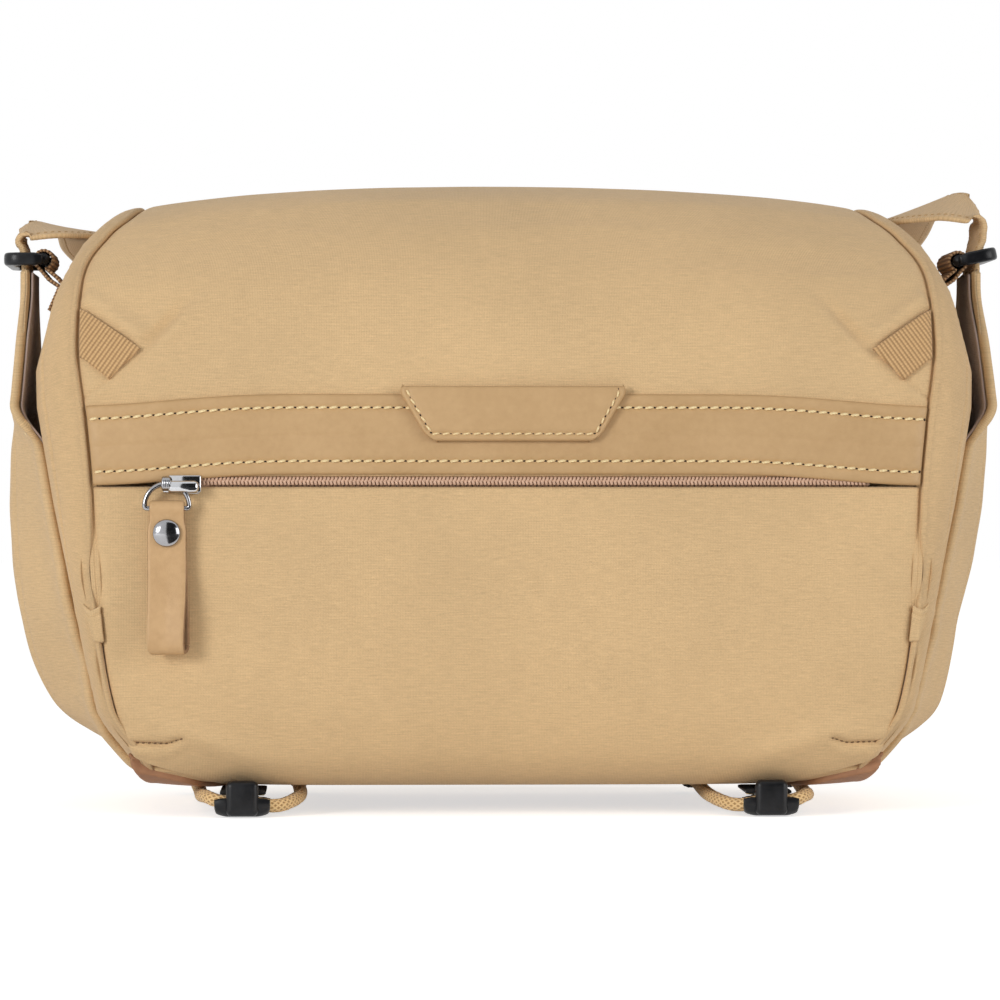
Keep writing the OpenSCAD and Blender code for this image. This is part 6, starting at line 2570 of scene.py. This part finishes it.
        grid[..., 1] = bow - x * np.sin(twist) * 0.35 + y * np.cos(twist)
        rows, sides = grid.shape[:2]
        parts = MeshParts()
        across = np.concatenate([f[0], f[0, ::-1]])[None, :] * 0.006
        places = np.stack(np.broadcast_arrays(across, arc(line)[:, None]), -1)
        parts.add(grid, places, loop_faces(rows, sides, flip=True, caps=True))
        cut = [int(j >= cols - 2 or j == 0) for j in range(sides)]
        parts.slots = cut * (rows - 1) + [1, 1]
        piece = parts.build("leather_puller_folded", [PULL_LEATHER, SUEDE])
        dress(piece, "leather_puller", "tan_leather", "leather_puller")

    def dome(self) -> None:
        """The domed rivet with its rolled rim."""
        radius = self.rivet / 2
        z = self.bar_z - self.rivet_drop
        profile = [(0.0001, 0.00230)]
        turn = np.linspace(0.12, 1.42, 16)
        profile += [(radius * math.sin(a), 0.0005 + 0.0018 * math.cos(a)) for a in turn]
        profile += [(radius, 0.00055), (radius, 0.00020), (radius * 0.97, -0.00005), (0.0001, -0.00005)]
        steps = 48
        turn = np.arange(steps) * 2 * math.pi / steps
        base = self.pin_y - self.leather - 0.0001
        grid = np.stack([
            np.stack([self.x + r * np.cos(turn), np.full(steps, base - h), z + r * np.sin(turn)], 1)
            for r, h in profile
        ])
        parts = MeshParts()
        parts.add(grid, grid[..., :2], loop_faces(len(profile), steps, caps=True))
        piece = parts.build("puller_rivet_dome", [GUNMETAL])
        dress(piece, "leather_puller", "polished_steel", "puller_rivet")

    def build(self) -> None:
        """Builds the slider, the ring, the leather and the rivet."""
        self.slider()
        self.ring()
        self.leather_loop()
        self.dome()


@dataclass
class MainPull:
    """A slider of the main zip on the rear run, with its wire and its cord-bound grip."""

    side: Side
    x: float = 0.009
    slider_length: float = 0.010
    slider_width: float = 0.007
    plate: float = 0.0012
    fabric: float = 0.0012
    rod: float = 0.0008
    wire_length: float = 0.008
    grip_length: float = 0.026
    grip_width: float = 0.0106
    grip_thickness: float = 0.0022

    def build(self) -> None:
        """Builds the slider and the pull."""
        at = LINES.zip_end + LINES.rear_gap / 2
        n = LINES.outward(at)
        out = np.array([0.0, n[0], n[1]])
        down = np.array([0.0, n[1], -n[0]])
        right = np.array([1.0, 0.0, 0.0])
        origin = LINES.skin(self.x, at, -self.fabric + 0.0003)
        origin = origin * np.array([self.side.value, 1.0, 1.0])
        lift = self.fabric + self.plate + 0.0022 + 0.0002
        away = right * self.side.value
        parts = MeshParts()
        axes = (away, down, out)
        neck = origin + out * (self.fabric + self.plate) / 2
        rounded_block(parts, neck, axes, (0.0096, 0.0024, 0.0024), 0.0004)
        rounded_block(
            parts, origin + out * (self.fabric + 1.5 * self.plate), axes,
            (self.slider_length, self.slider_width, self.plate), 0.0005, taper=(1.0, 0.78),
        )
        turn = np.linspace(0, 2 * math.pi, 29)[:-1]
        centre = origin + out * lift
        circle = centre + np.cos(turn)[:, None] * down * 0.00165 + np.sin(turn)[:, None] * out * 0.00165
        for shift in np.linspace(-0.0011, 0.0041, 6):
            tube(parts, circle + away * shift, 0.00055, 8, closed=True)
        name = f"main_slider_{self.side.word}"
        dress(parts.build(f"{name}_metal", [STEEL]), name, "polished_steel", name)
        x0, x1 = -0.003, 0.006
        wire = [(x0, self.wire_length), (x0, 0.0006), (x0 + 0.0006, 0.0), (x1 - 0.0006, 0.0), (x1, 0.0006)]
        wire += [(x1, self.wire_length)]
        path = resample(np.array([centre + away * a + down * b for a, b in wire]), 0.0005)
        parts = MeshParts()
        tube(parts, path, self.rod, 10, 1)
        start = centre + away * (x0 + x1) / 2 + down * (self.wire_length - 0.001 + self.grip_length / 2)
        size = (self.grip_length, self.grip_width, self.grip_thickness)
        rounded_block(parts, start, (down, away, out), size, 0.0008)
        rib = (0.0013, self.grip_width, self.grip_thickness + 0.0005)
        for k in range(11):
            spot = start + down * (-self.grip_length / 2 + 0.0028 + 0.00205 * k)
            rounded_block(parts, spot, (down, away, out), rib, 0.00045)
        name = f"main_pull_{self.side.word}"
        dress(parts.build(f"{name}_grip", [BLACK, STEEL]), name, "black_cord_pull", name)


# ---------------------------------------------------------------------------
# Studio
# ---------------------------------------------------------------------------


@dataclass
class Studio:
    """Camera, lamps, floor and world."""

    distance: float = 1.5
    height: float = 0.1034
    yaw: float = 2.0
    lens: float = 166.0
    key: float = 13.2
    fill: float = 13.8
    world: float = 0.44

    def camera(self) -> None:
        """The camera, level with the pack's middle and turned a little to its left."""
        data = bpy.data.cameras.new("view_camera")
        data.lens = self.lens
        data.sensor_width = 36.0
        data.clip_end = 50.0
        camera = placed("view_camera", data)
        turn = math.radians(self.yaw)
        camera.location = (
            -0.0026 - self.distance * math.sin(turn), FRONT_Y - self.distance * math.cos(turn), self.height,
        )
        camera.rotation_euler = (math.radians(90), 0.0, -turn)
        bpy.context.scene.camera = camera

    def lamp(self, name: str, spot: Spot, aim: Spot, size: float, power: float) -> None:
        """One soft square lamp.

        Args:
            name: The lamp's name.
            spot: Where it stands.
            aim: What it points at.
            size: The length of its side.
            power: Its power.
        """
        data = bpy.data.lights.new(name, "AREA")
        data.size = size
        data.energy = power
        lamp = placed(name, data)
        lamp.location = spot
        lamp.rotation_euler = (Vector(aim) - Vector(spot)).to_track_quat("-Z", "Y").to_euler()

    @staticmethod
    def shown_white(tree: bpy.types.NodeTree, shader: Node, white: Node) -> Socket:
        """Mixes a shader with plain white for rays of the camera, of metal and of glass.

        Args:
            tree: The node tree.
            shader: The shader that lights the object.
            white: The white that is seen.

        Returns:
            The mixed output.
        """
        path = tree.nodes.new("ShaderNodeLightPath")
        seen = None
        for name in ("Is Camera Ray", "Is Glossy Ray", "Is Transmission Ray"):
            if seen is None:
                seen = path.outputs[name]
                continue
            join = tree.nodes.new("ShaderNodeMath")
            join.operation = "MAXIMUM"
            tree.links.new(seen, join.inputs[0])
            tree.links.new(path.outputs[name], join.inputs[1])
            seen = join.outputs[0]
        mix = tree.nodes.new("ShaderNodeMixShader")
        tree.links.new(seen, mix.inputs[0])
        tree.links.new(shader.outputs[0], mix.inputs[1])
        tree.links.new(white.outputs[0], mix.inputs[2])
        return mix.outputs[0]

    def surroundings(self) -> None:
        """The pale world, and the floor that keeps the pack's shadow."""
        world = bpy.data.worlds.new("studio_world")
        world.use_nodes = True
        tree = world.node_tree
        tree.nodes.clear()
        output = tree.nodes.new("ShaderNodeOutputWorld")
        soft = tree.nodes.new("ShaderNodeBackground")
        soft.inputs["Color"].default_value = (1.0, 0.99, 0.975, 1.0)
        soft.inputs["Strength"].default_value = self.world
        white = tree.nodes.new("ShaderNodeBackground")
        white.inputs["Color"].default_value = (1.0, 1.0, 1.0, 1.0)
        white.inputs["Strength"].default_value = 1.0
        tree.links.new(self.shown_white(tree, soft, white), output.inputs["Surface"])
        bpy.context.scene.world = world
        mesh = bpy.data.meshes.new("studio_floor")
        far = 6.0
        mesh.from_pydata([(-far, -far, 0), (far, -far, 0), (far, far, 0), (-far, far, 0)], [], [(0, 1, 2, 3)])
        floor = placed("studio_floor", mesh)
        floor.location = (0.0, 0.0, -0.0003)
        material = bpy.data.materials.new("studio_floor")
        material.use_nodes = True
        tree = material.node_tree
        diffuse = tree.nodes.new("ShaderNodeBsdfDiffuse")
        diffuse.inputs["Color"].default_value = (0.92, 0.92, 0.92, 1.0)
        bright = tree.nodes.new("ShaderNodeEmission")
        bright.inputs["Strength"].default_value = 0.62
        lit = tree.nodes.new("ShaderNodeAddShader")
        tree.links.new(diffuse.outputs[0], lit.inputs[0])
        tree.links.new(bright.outputs[0], lit.inputs[1])
        output = next(node for node in tree.nodes if node.type == "OUTPUT_MATERIAL")
        tree.links.new(self.shown_white(tree, diffuse, lit), output.inputs["Surface"])
        mesh.materials.append(material)

    @staticmethod
    def dark_card() -> None:
        """A dark card to the camera's right that only gloss can see; it gives metal its dark side."""
        mesh = bpy.data.meshes.new("studio_card")
        corners = [(-0.22, -2.05), (2.10, -1.20)]
        points = [(x, y, z) for z in (0.002, 2.6) for x, y in corners]
        points += [(-0.10, -0.16, 0.002), (0.60, -0.16, 0.002)]
        mesh.from_pydata(points, [], [(0, 1, 3, 2), (0, 1, 5, 4)])
        card = placed("studio_card", mesh)
        material = bpy.data.materials.new("studio_card")
        material.use_nodes = True
        shader = material.node_tree.nodes["Principled BSDF"]
        shader.inputs["Base Color"].default_value = (0.012, 0.012, 0.013, 1.0)
        shader.inputs["Roughness"].default_value = 0.9
        mesh.materials.append(material)
        for kind in ("camera", "diffuse", "transmission", "volume_scatter", "shadow"):
            setattr(card, f"visible_{kind}", False)

    def build(self) -> None:
        """Sets the camera, the lamps and the surroundings."""
        self.camera()
        aim = (0.0, 0.0, 0.11)
        self.lamp("key_lamp", (-1.15, -1.30, 0.50), aim, 0.55, self.key)
        self.lamp("fill_lamp", (1.50, -1.00, 0.32), aim, 1.1, self.fill)
        self.surroundings()
        self.dark_card()
        bpy.context.scene.view_settings.view_transform = "Standard"
        LOG.info("studio is set")


def main() -> None:
    """Builds the pack's pieces and its studio."""
    logging.basicConfig(level=logging.INFO, format="%(name)s: %(message)s")
    Studio().build()
    pocket = FrontPocket()
    builders = [pocket, FrontZip(pocket), LeatherTrim(pocket), Lid(pocket)]
    builders += [BackAndBase(pocket), Inside(), MainZip(), FrontPull(), ShoulderStrap()]
    for side in Side:
        builders += [CornerTab(side), Gusset(side), SidePanel(side), WingPocket(side)]
        builders += [StrapRing(side, 0.0 if side is Side.LEFT else 12.0), CordHook(side), MainPull(side)]
    for builder in builders:
        builder.build()


if __name__ == "__main__":
    main()
